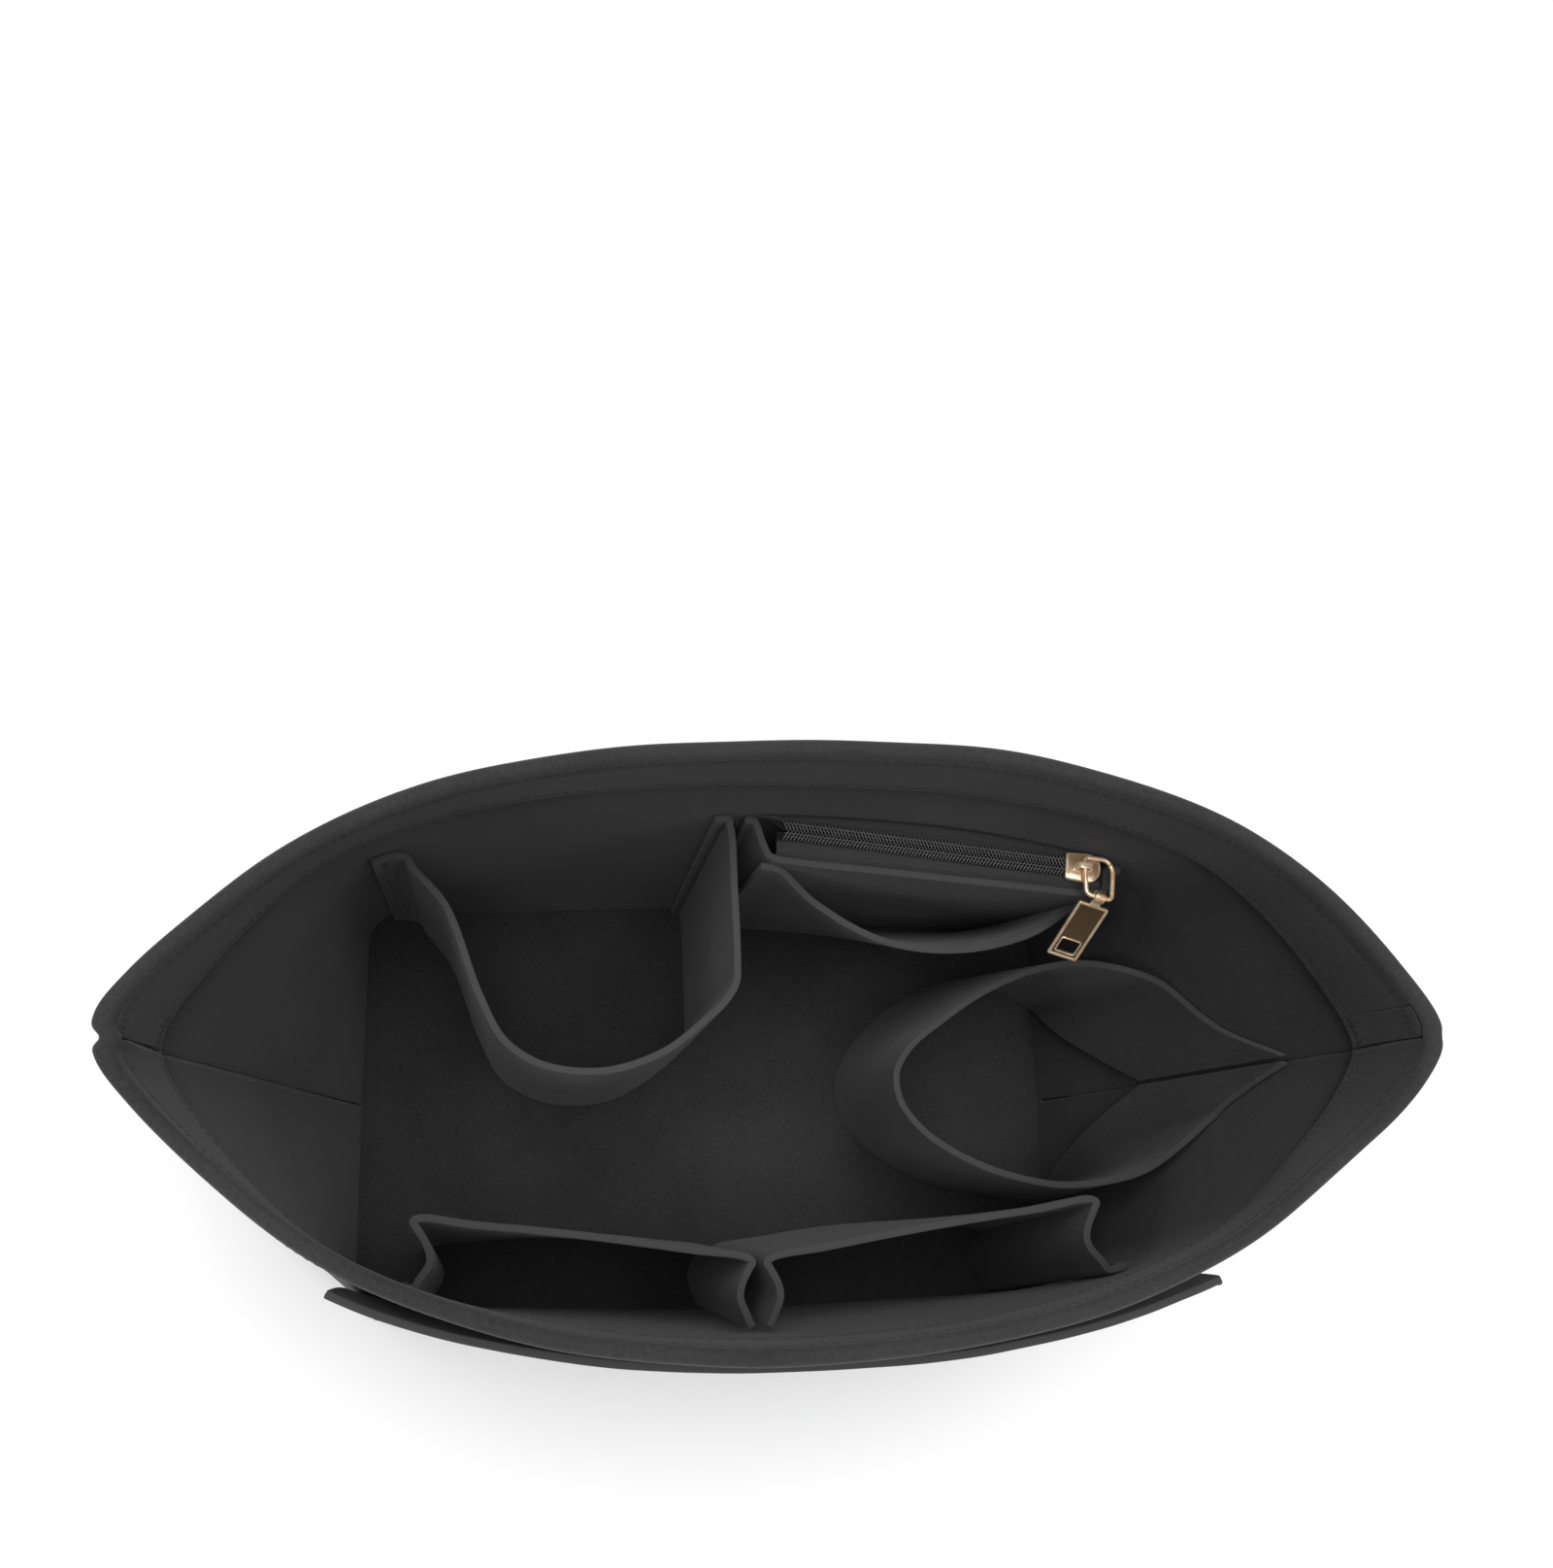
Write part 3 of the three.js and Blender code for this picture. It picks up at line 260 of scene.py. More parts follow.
def sheet_arrays(grid, thickness, bulge=CUT_BULGE):
    """A closed sheet around a grid of centre points: two faces and a rounded border that stands
    out by bulge, whose section is a power curve between a square and a half circle."""
    rows, columns = grid.shape[:2]
    normals = grid_normals(grid)
    half = thickness / 2
    front = grid + normals * half
    back = grid - normals * half
    ids = np.arange(rows * columns).reshape(rows, columns)
    border = np.concatenate([ids[0, :-1], ids[:-1, -1], ids[-1, :0:-1], ids[:0:-1, 0]])
    out = np.zeros_like(grid)
    out[0] -= unit(grid[1] - grid[0])
    out[-1] += unit(grid[-1] - grid[-2])
    out[:, 0] -= unit(grid[:, 1] - grid[:, 0])
    out[:, -1] += unit(grid[:, -1] - grid[:, -2])
    out = unit(out).reshape(-1, 3)[border]
    centre = grid.reshape(-1, 3)[border]
    normal = normals.reshape(-1, 3)[border]
    angles = np.pi / 2 - np.pi * np.arange(1, CUT_STEPS + 1) / (CUT_STEPS + 1)
    reach = bulge * np.cos(angles) ** SQUARENESS
    lift = half * np.sign(np.sin(angles)) * np.abs(np.sin(angles)) ** SQUARENESS
    rim = centre + out * reach[:, None, None] + normal * lift[:, None, None]
    points = np.concatenate([front.reshape(-1, 3), back.reshape(-1, 3), rim.reshape(-1, 3)])
    count = rows * columns
    rim_ids = 2 * count + np.arange(CUT_STEPS * len(border)).reshape(CUT_STEPS, -1)
    loops = np.concatenate([border[None], rim_ids, (border + count)[None]])
    faces = np.concatenate([
        grid_faces(rows, columns),
        grid_faces(rows, columns, count, flip=True),
        band_faces(loops)[:, ::-1],
    ])
    cut = np.zeros(len(points))
    cut[2 * count:] = 1
    cut[border] = 0.5
    cut[border + count] = 0.5
    return points, outward(points, faces), cut


def waves(u, v, seed, count=7, least=1.0, most=4.0):
    """A gentle random relief between about -1 and 1: a sum of plane waves with seeded
    directions and phases, over coordinates u and v that run from 0 to 1."""
    draw = np.random.default_rng(seed)
    total = np.zeros(np.broadcast(u, v).shape)
    for _ in range(count):
        fu, fv = draw.uniform(least, most, 2) * draw.choice([-1, 1], 2)
        total = total + np.sin(2 * np.pi * (fu * u + fv * v) + draw.uniform(0, 2 * np.pi))
    return total / np.sqrt(2 * count)


def bell(values, width):
    """A bell curve that is 1 where the values are 0 and 1 / e at the width."""
    return np.exp(-((values / width) ** 2))


def step_up(values, start, width):
    """0 before start and 1 from a width after it, with a smooth cubic between."""
    t = np.clip((values - start) / width, 0, 1)
    return t * t * (3 - 2 * t)


def full_wave(values, power=0.62):
    """A sine or cosine with fuller shoulders: its sign times a power of its size."""
    return np.sign(values) * np.abs(values) ** power


def circle(count):
    """Even angles once round a circle."""
    return 2 * np.pi * np.arange(count) / count


print("a sheet's cut edge has", CUT_STEPS, "steps")

# %% [markdown]
# ## Felt
# Pressed felt is a mat of short fibres: matt, slightly fuzzy, with a faint mottle and paler cut
# edges where the fibres stand open. The colour mixes a broad and a fine noise, the bump adds the
# tangle of fibres, and the shader's sheen gives the soft glow that fuzz has at low angles.

# %% Felt material
FELT_DARK = (0.0240, 0.0240, 0.0245, 1)
FELT_PALE = (0.0385, 0.0385, 0.0392, 1)
FELT_CUT = (0.062, 0.062, 0.063, 1)
SHEEN_TINT = (0.6, 0.6, 0.62, 1)
NODE_SPACING, NODE_COLUMNS = 220, 30


class Nodes:
    """Adds nodes to a material and joins them, left to right."""

    def __init__(self, name):
        self.material = bpy.data.materials.new(name)
        self.material.use_nodes = True
        self.tree = self.material.node_tree
        self.shader = self.tree.nodes["Principled BSDF"]
        self.column = 0

    def add(self, kind, links=(), **settings):
        """A node with its settings and inputs: links are (input, source socket) pairs."""
        node = self.tree.nodes.new(kind)
        self.column += 1
        node.location = (NODE_SPACING * (self.column - NODE_COLUMNS), 0)
        for key, value in settings.items():
            if key.startswith("in_"):
                node.inputs[key[3:].replace("_", " ")].default_value = value
            else:
                setattr(node, key, value)
        for key, source in links:
            self.tree.links.new(source, node.inputs[key])
        return node

    def place(self):
        """The object's own coordinates, in metres."""
        return self.add("ShaderNodeTexCoord").outputs["Object"]

    def cut(self):
        """The number that each point of the mesh keeps as its cut attribute."""
        return self.add("ShaderNodeAttribute", attribute_name="cut").outputs["Fac"]

    def mapped(self, vector, **settings):
        """Coordinates that are scaled or turned."""
        return self.add("ShaderNodeMapping", [("Vector", vector)], **settings).outputs["Vector"]

    def mix(self, factor, a, b, blend="MIX"):
        """A colour between a and b. Each is a colour or a socket, and so is the factor."""
        node = self.add("ShaderNodeMix", data_type="RGBA", blend_type=blend)
        for index, value in ((0, factor), (6, a), (7, b)):
            if isinstance(value, bpy.types.NodeSocket):
                self.tree.links.new(value, node.inputs[index])
            else:
                node.inputs[index].default_value = value
        return node.outputs[2]

    def noise(self, vector, scale, detail=3.0, roughness=0.6, distortion=0.0):
        """The value of a noise texture at a scale per metre."""
        node = self.add(
            "ShaderNodeTexNoise",
            [("Vector", vector)],
            in_Scale=scale,
            in_Detail=detail,
            in_Roughness=roughness,
            in_Distortion=distortion,
        )
        return node.outputs["Fac"]

    def ramp(self, value, low, high, out_low=0.0, out_high=1.0):
        """Maps the range low to high onto out_low to out_high, and keeps it inside."""
        node = self.add(
            "ShaderNodeMapRange",
            [("Value", value)],
            in_From_Min=low,
            in_From_Max=high,
            in_To_Min=out_low,
            in_To_Max=out_high,
        )
        return node.outputs["Result"]

    def bump(self, height, strength, distance, below=None):
        """A bump of a height in metres, over another bump if one is given."""
        links = [("Height", height)] + ([("Normal", below)] if below else [])
        node = self.add("ShaderNodeBump", links, in_Strength=strength, in_Distance=distance)
        return node.outputs["Normal"]

    def join(self, **sockets):
        """Joins sockets to the shader's inputs of those names."""
        for key, source in sockets.items():
            self.tree.links.new(source, self.shader.inputs[key.replace("_", " ")])

    def value(self, **values):
        """Sets the shader's own sockets."""
        for key, number in values.items():
            self.shader.inputs[key.replace("_", " ")].default_value = number


def felt_material(name):
    """Charcoal felt: broad and fine mottle, stretched fibres, paler cuts, and a fuzzy sheen."""
    nodes = Nodes(name)
    place = nodes.place()
    broad = nodes.noise(place, scale=26, detail=2, roughness=0.5)
    fine = nodes.noise(place, scale=620, detail=5, roughness=0.78)
    fibres = nodes.mapped(place, in_Scale=(1.0, 0.28, 0.6))
    strands = nodes.noise(fibres, scale=2600, detail=3, roughness=0.65, distortion=1.2)
    mottle = nodes.mix(0.68, broad, fine)
    body = nodes.mix(nodes.ramp(mottle, 0.39, 0.61), FELT_DARK, FELT_PALE)
    hairs = nodes.ramp(strands, 0.60, 0.74, out_low=0.0, out_high=0.45)
    body = nodes.mix(hairs, body, FELT_CUT)
    edge = nodes.ramp(nodes.cut(), 0.2, 1.0, out_low=0.0, out_high=0.75)
    nodes.join(Base_Color=nodes.mix(edge, body, FELT_CUT))
    soft = nodes.bump(fine, strength=0.55, distance=0.00035)
    nodes.join(Normal=nodes.bump(strands, strength=0.45, distance=0.00018, below=soft))
    nodes.join(Roughness=nodes.ramp(fine, 0.3, 0.7, out_low=0.88, out_high=1.0))
    nodes.value(Specular_IOR_Level=0.22)
    nodes.value(Sheen_Weight=0.20, Sheen_Roughness=0.5, Sheen_Tint=SHEEN_TINT)
    return nodes.material


felt = felt_material("felt")
print("felt nodes:", len(felt.node_tree.nodes))

# %% [markdown]
# ## The walls' outlines
# Seen from above, the base is a rounded rectangle with slightly bowed long sides, and the rim is
# a pointed lens. Each wall is straight from the one to the other, so a wall point is a mix of the
# two outlines by its height. A share from 0 to 1 runs along a wall from the left-hand end seam to
# the right-hand one.

# %% Outline functions
base_low, base_high = (np.array(corner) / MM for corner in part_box("base_panel"))
MIDDLE = (base_low + base_high) / 2
BODY_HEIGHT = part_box("back_wall_panel")[1].z / MM
BASE_BOW = 3.5
BASE_LENGTH = base_high[0] - base_low[0]
BASE_WIDTH = base_high[1] - base_low[1] - 2 * BASE_BOW
CORNER_RADIUS = 16.0
RIM_HALF = 208.0
RIM_REACH = {1: 93.4, -1: 95.0}
RIM_POWERS = {1: (2.76, 1.27), -1: (2.36, 1.19)}
TIP_INSET = 1.15
SEAM_GAP = 0.3
HEM = 36.0
FOLD_GAP = 0.4
RIM_STEPS = 1440
SHARE_STEPS = 2400

HALF_BASE = BASE_LENGTH / 2
END_RUN = BASE_WIDTH / 2 - CORNER_RADIUS
CORNER_RUN = CORNER_RADIUS * np.pi / 2
SIDE_RUN = BASE_LENGTH - 2 * CORNER_RADIUS
HALF_BASE_RUN = 2 * END_RUN + 2 * CORNER_RUN + SIDE_RUN
FLOOR_LEVEL = FELT + SEAM_GAP
STRIP_FOOT = FELT + 2 * SEAM_GAP
WALL_LAY = FELT + 2 * SEAM_GAP + FELT / 2
HEM_LEVEL = BODY_HEIGHT - HEM


def base_outline(share, inset):
    """Half of the base outline, moved square inwards by inset: a straight end, a quarter circle,
    a long side whose bow is half a cosine wave, and the same again in mirror image."""
    share, inset = np.broadcast_arrays(np.asarray(share, float), np.asarray(inset, float))
    from_end = np.minimum(share, 1 - share) * HALF_BASE_RUN
    side = np.where(share < 0.5, -1.0, 1.0)
    turn = np.clip((from_end - END_RUN) / CORNER_RADIUS, 0, np.pi / 2)
    reach = CORNER_RADIUS - inset
    x_long = share * HALF_BASE_RUN - END_RUN - CORNER_RUN - SIDE_RUN / 2
    swing = 2 * np.pi * x_long / SIDE_RUN
    slope = -BASE_BOW * np.pi / SIDE_RUN * np.sin(swing)
    length = np.hypot(slope, 1)
    on_end, on_corner = from_end < END_RUN, from_end < END_RUN + CORNER_RUN
    x_corner = side * (HALF_BASE - CORNER_RADIUS + reach * np.cos(turn))
    x = np.where(on_corner, x_corner, x_long + slope / length * inset)
    x = np.where(on_end, side * (HALF_BASE - inset), x)
    y = BASE_WIDTH / 2 + BASE_BOW * (1 + np.cos(swing)) / 2 - inset / length
    y = np.where(on_corner, END_RUN + reach * np.sin(turn), y)
    return x, np.where(on_end, from_end, y)


def rim_at_angle(side, angle, inset):
    """A pointed lens: powers of the shares of its length and reach sum to one."""
    c, s = np.cos(angle), np.sin(angle)
    long_power, deep_power = RIM_POWERS[side]
    x = -(RIM_HALF - inset * TIP_INSET) * np.sign(c) * np.abs(c) ** (2 / long_power)
    return x, (RIM_REACH[side] - inset) * np.abs(s) ** (2 / deep_power)


def rim_table(side):
    """Angles round one side of the rim and the run along it up to each."""
    angles = np.linspace(0, np.pi, RIM_STEPS + 1)
    x, y = rim_at_angle(side, angles, 0.0)
    steps = np.hypot(np.diff(x), np.diff(y))
    return angles, np.concatenate([[0], np.cumsum(steps)])


RIM_TABLES = {side: rim_table(side) for side in (1, -1)}
RIM_RUN = RIM_TABLES[1][1][-1]


def wall_point(side, share, level, inset):
    """A point of the back wall, side 1, or the front wall, side -1, in mm in the row frame: the
    base outline mixed with the rim outline by its height."""
    share, level, inset = np.broadcast_arrays(*(np.asarray(v, float) for v in (share, level, inset)))
    angles, runs = RIM_TABLES[side]
    angle = np.interp(share * runs[-1], runs, angles)
    base_x, base_y = base_outline(share, inset)
    rim_x, rim_y = rim_at_angle(side, angle, inset)
    rise = level / BODY_HEIGHT
    x = base_x + (rim_x - base_x) * rise
    y = base_y + (rim_y - base_y) * rise
    return np.stack([x + MIDDLE[0], side * (SEAM_GAP / 2 + y) + MIDDLE[1], level], -1)


SHARE_TABLE = np.linspace(0, 1, SHARE_STEPS + 1)


def wall_share(side, x, level, inset):
    """The share at which a wall has that x, read from a table of the wall at that one level."""
    return np.interp(x, wall_point(side, SHARE_TABLE, level, inset)[:, 0], SHARE_TABLE)


def off_wall(side, x, level, standoff):
    """Points above x at one level on the sheet that lies against a wall, moved off it."""
    share = wall_share(side, x, level, WALL_LAY)
    point = wall_point(side, share, level, WALL_LAY)
    point[..., 1] -= side * standoff
    return point


def smooth_line(controls, steps):
    """A centripetal Catmull-Rom curve through control points, for many rows at once: each span
    is a cubic whose end slopes weigh the chords by the square root of their lengths."""
    first = 2 * controls[..., :1, :] - controls[..., 1:2, :]
    last = 2 * controls[..., -1:, :] - controls[..., -2:-1, :]
    p = np.concatenate([first, controls, last], -2)
    d = np.sqrt(np.linalg.norm(np.diff(p, axis=-2), axis=-1, keepdims=True))
    d = np.maximum(d, 1e-3)
    p0, p1, p2, p3 = (p[..., k : p.shape[-2] - 3 + k, :] for k in range(4))
    d0, d1, d2 = (d[..., k : d.shape[-2] - 2 + k, :] for k in range(3))
    start = ((p1 - p0) / d0 - (p2 - p0) / (d0 + d1) + (p2 - p1) / d1) * d1
    end = ((p2 - p1) / d1 - (p3 - p1) / (d1 + d2) + (p3 - p2) / d2) * d1
    t = (np.arange(steps) / steps)[:, None]
    p1, p2, start, end = (v[..., None, :] for v in (p1, p2, start, end))
    curve = (
        (2 * t**3 - 3 * t**2 + 1) * p1
        + (t**3 - 2 * t**2 + t) * start
        + (3 * t**2 - 2 * t**3) * p2
        + (t**3 - t**2) * end
    )
    curve = curve.reshape(*curve.shape[:-3], -1, 3)
    return np.concatenate([curve, controls[..., -1:, :]], -2)


print("rim run in mm:", round(float(RIM_RUN), 1))

# %% [markdown]
# ## Stitches
# A stitch is a short bead of thread that dips into the felt at both ends. One bead is about two dozen
# faces, and a row of them is one mesh: the beads' places, directions and normals are arrays, so
# the whole row is worked out at once.

# %% Thread material and stitch rows
THREAD_DARK = (0.012, 0.012, 0.0125, 1)
THREAD_PALE = (0.034, 0.034, 0.036, 1)
STITCH_PITCH = 3.4
STITCH_LENGTH = 2.7
THREAD_RADIUS = 0.24
BEAD_SIDES = 6
BEAD_RING_SHARES = np.array([
    (-1.0, 0.15, -1.0), (-0.72, 0.8, -0.25), (0.0, 1.0, 0.0), (0.72, 0.8, -0.25), (1.0, 0.15, -1.0),
])
STITCH_REACH = 0.3
THREAD_LIFT = THREAD_RADIUS / 2


def thread_material():
    """Twisted polyester thread: fine slanted bands in its colour and bump, with a slight shine."""
    nodes = Nodes("thread")
    twist = nodes.add(
        "ShaderNodeTexWave",
        [("Vector", nodes.place())],
        wave_type="BANDS",
        bands_direction="DIAGONAL",
        in_Scale=1500,
        in_Distortion=1.5,
        in_Detail=1.0,
    ).outputs["Fac"]
    nodes.join(Base_Color=nodes.mix(twist, THREAD_DARK, THREAD_PALE))
    nodes.join(Normal=nodes.bump(twist, strength=0.5, distance=0.0001))
    nodes.value(Roughness=0.55, Specular_IOR_Level=0.35, Sheen_Weight=0.1)
    return nodes.material


thread = thread_material()
print("thread nodes:", len(thread.node_tree.nodes))


def bead_arrays(centres, along, normals, length, radius):
    """Beads of thread at centres, as long as length in the direction along, bowed so that both
    ends dip by a radius: rings of points whose size and dip are shares of the bead's."""
    across = unit(np.cross(normals, along))
    normals = unit(np.cross(along, across))
    angle = circle(BEAD_SIDES)
    run, size, dip = BEAD_RING_SHARES.T
    local_along = np.repeat(run * length / 2, BEAD_SIDES)
    local_across = (size[:, None] * radius * np.cos(angle)).ravel()
    local_up = (size[:, None] * radius * np.sin(angle) + (dip * radius)[:, None]).ravel()
    points = (
        centres[:, None]
        + along[:, None] * local_along[None, :, None]
        + across[:, None] * local_across[None, :, None]
        + normals[:, None] * local_up[None, :, None]
    )
    count = len(run) * BEAD_SIDES
    rings = np.arange(count).reshape(len(run), BEAD_SIDES)
    caps = np.stack([rings[0][::-1], rings[-1]])
    starts = (np.arange(len(centres)) * count)[:, None, None]
    faces = (band_faces(rings)[None] + starts).reshape(-1, 4)
    ends = (caps[None] + starts).reshape(-1, BEAD_SIDES)
    return points.reshape(-1, 3), faces, ends


def stitch_row(name, lines, sizes=(STITCH_PITCH, STITCH_LENGTH, THREAD_RADIUS), material=thread):
    """Rows of stitches along lines: each line is an array of points and one of normals. The
    places are even steps of the line's run, and the sizes are their pitch, length and radius."""
    pitch, length, radius = sizes
    centres, directions, ups = [], [], []
    for points, normals in lines:
        run = np.concatenate([[0], np.cumsum(np.linalg.norm(np.diff(points, axis=0), axis=1))])
        count = max(1, int(run[-1] / pitch))
        at = (np.arange(count) + 0.5) * run[-1] / count

        def read(values, where):
            return np.stack([np.interp(where, run, values[:, k]) for k in range(3)], -1)

        centres.append(read(points, at))
        directions.append(unit(read(points, at + STITCH_REACH) - read(points, at - STITCH_REACH)))
        ups.append(unit(read(normals, at)))
    centres, directions, ups = (np.concatenate(v) for v in (centres, directions, ups))
    points, faces, ends = bead_arrays(centres, directions, ups, length, radius)
    make_object(name, points, faces, material, extra=list(ends))
    print(name, "stitches:", len(centres))


# %% [markdown]
# ## Walls with a folded hem
# Each wall is one sheet whose top is folded inwards and sewn down twice: close under the roll and
# above the hem's cut edge. Its section is a hook. The levels lie close together where the felt
# bends, and also at the foot, because smooth shading needs a short face next to a sharp edge.

# %% Wall section
ROLL_STEPS, EDGE_STEPS, HEM_ROWS, BACK_ROWS = 18, 7, 44, 9
FOOT_STEPS = np.array([0.02, 0.3, 0.8])
COARSE_START, COARSE_STEP = 8.0, 10.0
FINE_START, FINE_STEP = 205.0, 1.6
HEM_ROUND, HEM_FULLNESS = 0.7, 0.7
OUTER_FACE, ROLL, HEM_FRONT, HEM_EDGE, HEM_BACK, INNER_FACE = range(6)


def wall_section():
    """The hook's outline as insets and levels, and what each point lies on. The roll is a half
    circle, and the cut edge is half an oval whose width follows a power of the cosine."""
    outer = FELT + FOLD_GAP / 2
    bend = BODY_HEIGHT - outer
    coarse = np.arange(FELT + COARSE_START, FINE_START, COARSE_STEP)
    rise = np.concatenate([FELT + FOOT_STEPS, coarse, np.arange(FINE_START, bend, FINE_STEP)])
    roll = np.pi * (1 - np.arange(1, ROLL_STEPS) / ROLL_STEPS)
    hem_end = HEM_LEVEL + HEM_ROUND
    front = np.linspace(bend, hem_end, HEM_ROWS)
    edge = np.linspace(0, -np.pi, EDGE_STEPS)[1:-1]
    edge_inset = FELT * 1.5 + FOLD_GAP + FELT / 2 * full_wave(np.cos(edge), HEM_FULLNESS)
    back = np.linspace(hem_end, bend, BACK_ROWS)[1:]
    parts = [
        (np.zeros_like(rise), rise, OUTER_FACE),
        (outer + outer * np.cos(roll), bend + outer * np.sin(roll), ROLL),
        (np.full_like(front, 2 * outer), front, HEM_FRONT),
        (edge_inset, hem_end + HEM_ROUND * np.sin(edge), HEM_EDGE),
        (np.full_like(back, FELT + FOLD_GAP), back, HEM_BACK),
        (np.array([outer]), np.array([bend + FOLD_GAP / 2]), HEM_BACK),
        (np.full_like(rise, FELT), rise[::-1], INNER_FACE),
    ]
    inset = np.concatenate([p[0] for p in parts])
    level = np.concatenate([p[1] for p in parts])
    kind = np.concatenate([np.full(len(p[0]), p[2]) for p in parts])
    return inset, level, kind


print("points in the section:", len(wall_section()[0]))

# %% [markdown]
# ## The walls' small forms
# The stitch lines pull the felt in, so the section is pinched there, with a dimple for each
# stitch, and the felt between them stands out a little. The walls are sewn by hand: their faces
# have slow waves, and the rim leans in and out. The leans are read off the photograph, as pairs
# of a share along the rim and millimetres outwards.

# %% Pull of the seams, lean of the rim
SEAM_LEVELS = (242.6, 217.4)
SEAM_PINCH = (0.6, 0.42)
SEAM_SPREAD = (1.7, 1.5)
WALL_PINCH = {1: 1.0, -1: 0.55}
DIMPLE_MEAN, DIMPLE_SWING = 0.66, 0.34
OUTSIDE_PULL = 0.45
HEM_PILLOW = 0.28
WALL_RELIEF, WALL_SEED, WALL_WAVES = 0.4, 11, 6


def seam_pull(level, kind, run):
    """How far the stitch lines pull each point in: a bell over its height, deeper at every
    stitch along the run. The hem's front and the outer face are pulled towards each other."""
    dimple = DIMPLE_MEAN + DIMPLE_SWING * np.cos(2 * np.pi * run / STITCH_PITCH)
    pull = 0
    for seam, pinch, spread in zip(SEAM_LEVELS, SEAM_PINCH, SEAM_SPREAD):
        pull = pull + pinch * bell(level - seam, spread) * dimple
    between = np.clip((level - SEAM_LEVELS[1]) / (SEAM_LEVELS[0] - SEAM_LEVELS[1]), 0, 1)
    inside = np.where(np.isin(kind, (ROLL, HEM_FRONT)), HEM_PILLOW * np.sin(np.pi * between) - pull, 0)
    return inside + np.where(kind == OUTER_FACE, OUTSIDE_PULL * pull, 0)


LEAN_START, LEAN_POWER = 150.0, 1.5
BACK_LEAN = [
    (0, 1.0), (0.02, 2.8), (0.045, 1.8), (0.09, 0.0), (0.15, -0.2), (0.25, -0.9), (0.33, -1.4), (0.43, -0.4),
    (0.51, 1.1), (0.59, 1.8), (0.67, 2.3), (0.75, 3.3), (0.81, 4.3), (0.87, 4.1), (0.945, 2.8),
    (0.985, 2.9), (1, 1.8),
]
FRONT_LEAN = [
    (0, 1.0), (0.02, 2.4), (0.05, 2.1), (0.115, 1.4), (0.19, 2.6), (0.28, 2.0), (0.36, 1.2), (0.50, 0.4),
    (0.60, -0.6), (0.70, -0.7), (0.79, -0.4), (0.86, -0.6), (0.90, 0.2), (0.936, 2.1), (0.96, 2.9),
    (0.985, 2.9), (1, 1.8),
]


def lean_line(table):
    """A smooth line through (share, lean) pairs, with the lean in hundreds of mm so that the
    share rules the steps. The third number only fills up the points."""
    controls = np.array([(share, lean / 100, 0) for share, lean in table])
    line = smooth_line(controls, 12)
    return line[:, 0], line[:, 1] * 100


LEAN_LINES = {1: lean_line(BACK_LEAN), -1: lean_line(FRONT_LEAN)}


def wall_swell(side, share, level):
    """How far a hand-sewn wall stands out of its plan, in mm: slow waves that grow with height, and
    the rim's own lean, which grows with a power of the height over a start."""
    rise = np.clip(level / BODY_HEIGHT, 0, 1)
    calm = np.sin(np.pi * np.clip(share, 0, 1)) ** 0.5
    high = np.clip((level - LEAN_START) / (BODY_HEIGHT - LEAN_START), 0, 1) ** LEAN_POWER
    relief = WALL_RELIEF * calm * rise * waves(share * 2.2, rise * 0.7, WALL_SEED + side, WALL_WAVES)
    return relief + high * np.interp(share, *LEAN_LINES[side])


print("furthest lean of the back rim in mm:", round(float(LEAN_LINES[1][1].max()), 1))

# %% [markdown]
# ## The end seams
# At both tips the two walls turn into one seam. Their outer faces close up, the inner ones leave
# an uneven crack, and the hem of the back wall has a shallow bed for the patch that covers the
# seam's end. The left tip is drawn in more than the right one.

# %% End seams
GROOVE_DEPTH, GROOVE_WIDTH, GROOVE_UNEVEN, GROOVE_WAVE = 0.4, 1.0, 0.35, 40
CRACK_HALF, CRACK_WIDTH, CRACK_UNEVEN, CRACK_WAVE = 0.24, 0.8, 0.7, 38
WANDER_REACH, WANDER_WIDTH, WANDER_WAVE = 0.5, 4, 52
CLOSE_OVERLAP, CLOSE_WIDTH = 0.03, 6
GROOVE_SEED, CRACK_SEED, WANDER_SEED = 77, 78, 79
NOTCH = {"left": 2.4, "right": 0.6}
NOTCH_WIDTH, NOTCH_START, NOTCH_RISE = 2.4, 225.0, 20.0
TIP_WIDTH, TIP_LOW, TIP_HIGH = 11.0, 218.2, 246.2
TIP_RECESS, TIP_STEP = 1.75, 0.5
TIP_SLIT = {"left": -0.15, "right": 0.9}


def at_end(share, by_end):
    """The value for the left or the right end, whichever is nearer."""
    return np.where(share < 0.5, by_end["left"], by_end["right"])


def end_groove(share, level, kind):
    """Near the end seams the inner faces fall back into an uneven groove, a bell over the run, and
    the whole top is drawn in, more at the left tip, where the photograph shows a notch."""
    run = np.minimum(share, 1 - share) * RIM_RUN
    inner = np.isin(kind, (HEM_FRONT, INNER_FACE))
    uneven = 1 + GROOVE_UNEVEN * waves(level / GROOVE_WAVE, 0 * share, GROOVE_SEED)
    groove = GROOVE_DEPTH * uneven * bell(run, GROOVE_WIDTH)
    notch = at_end(share, NOTCH) * np.clip((level - NOTCH_START) / NOTCH_RISE, 0, 1)
    return notch * bell(run, NOTCH_WIDTH) - np.where(inner, groove, 0)


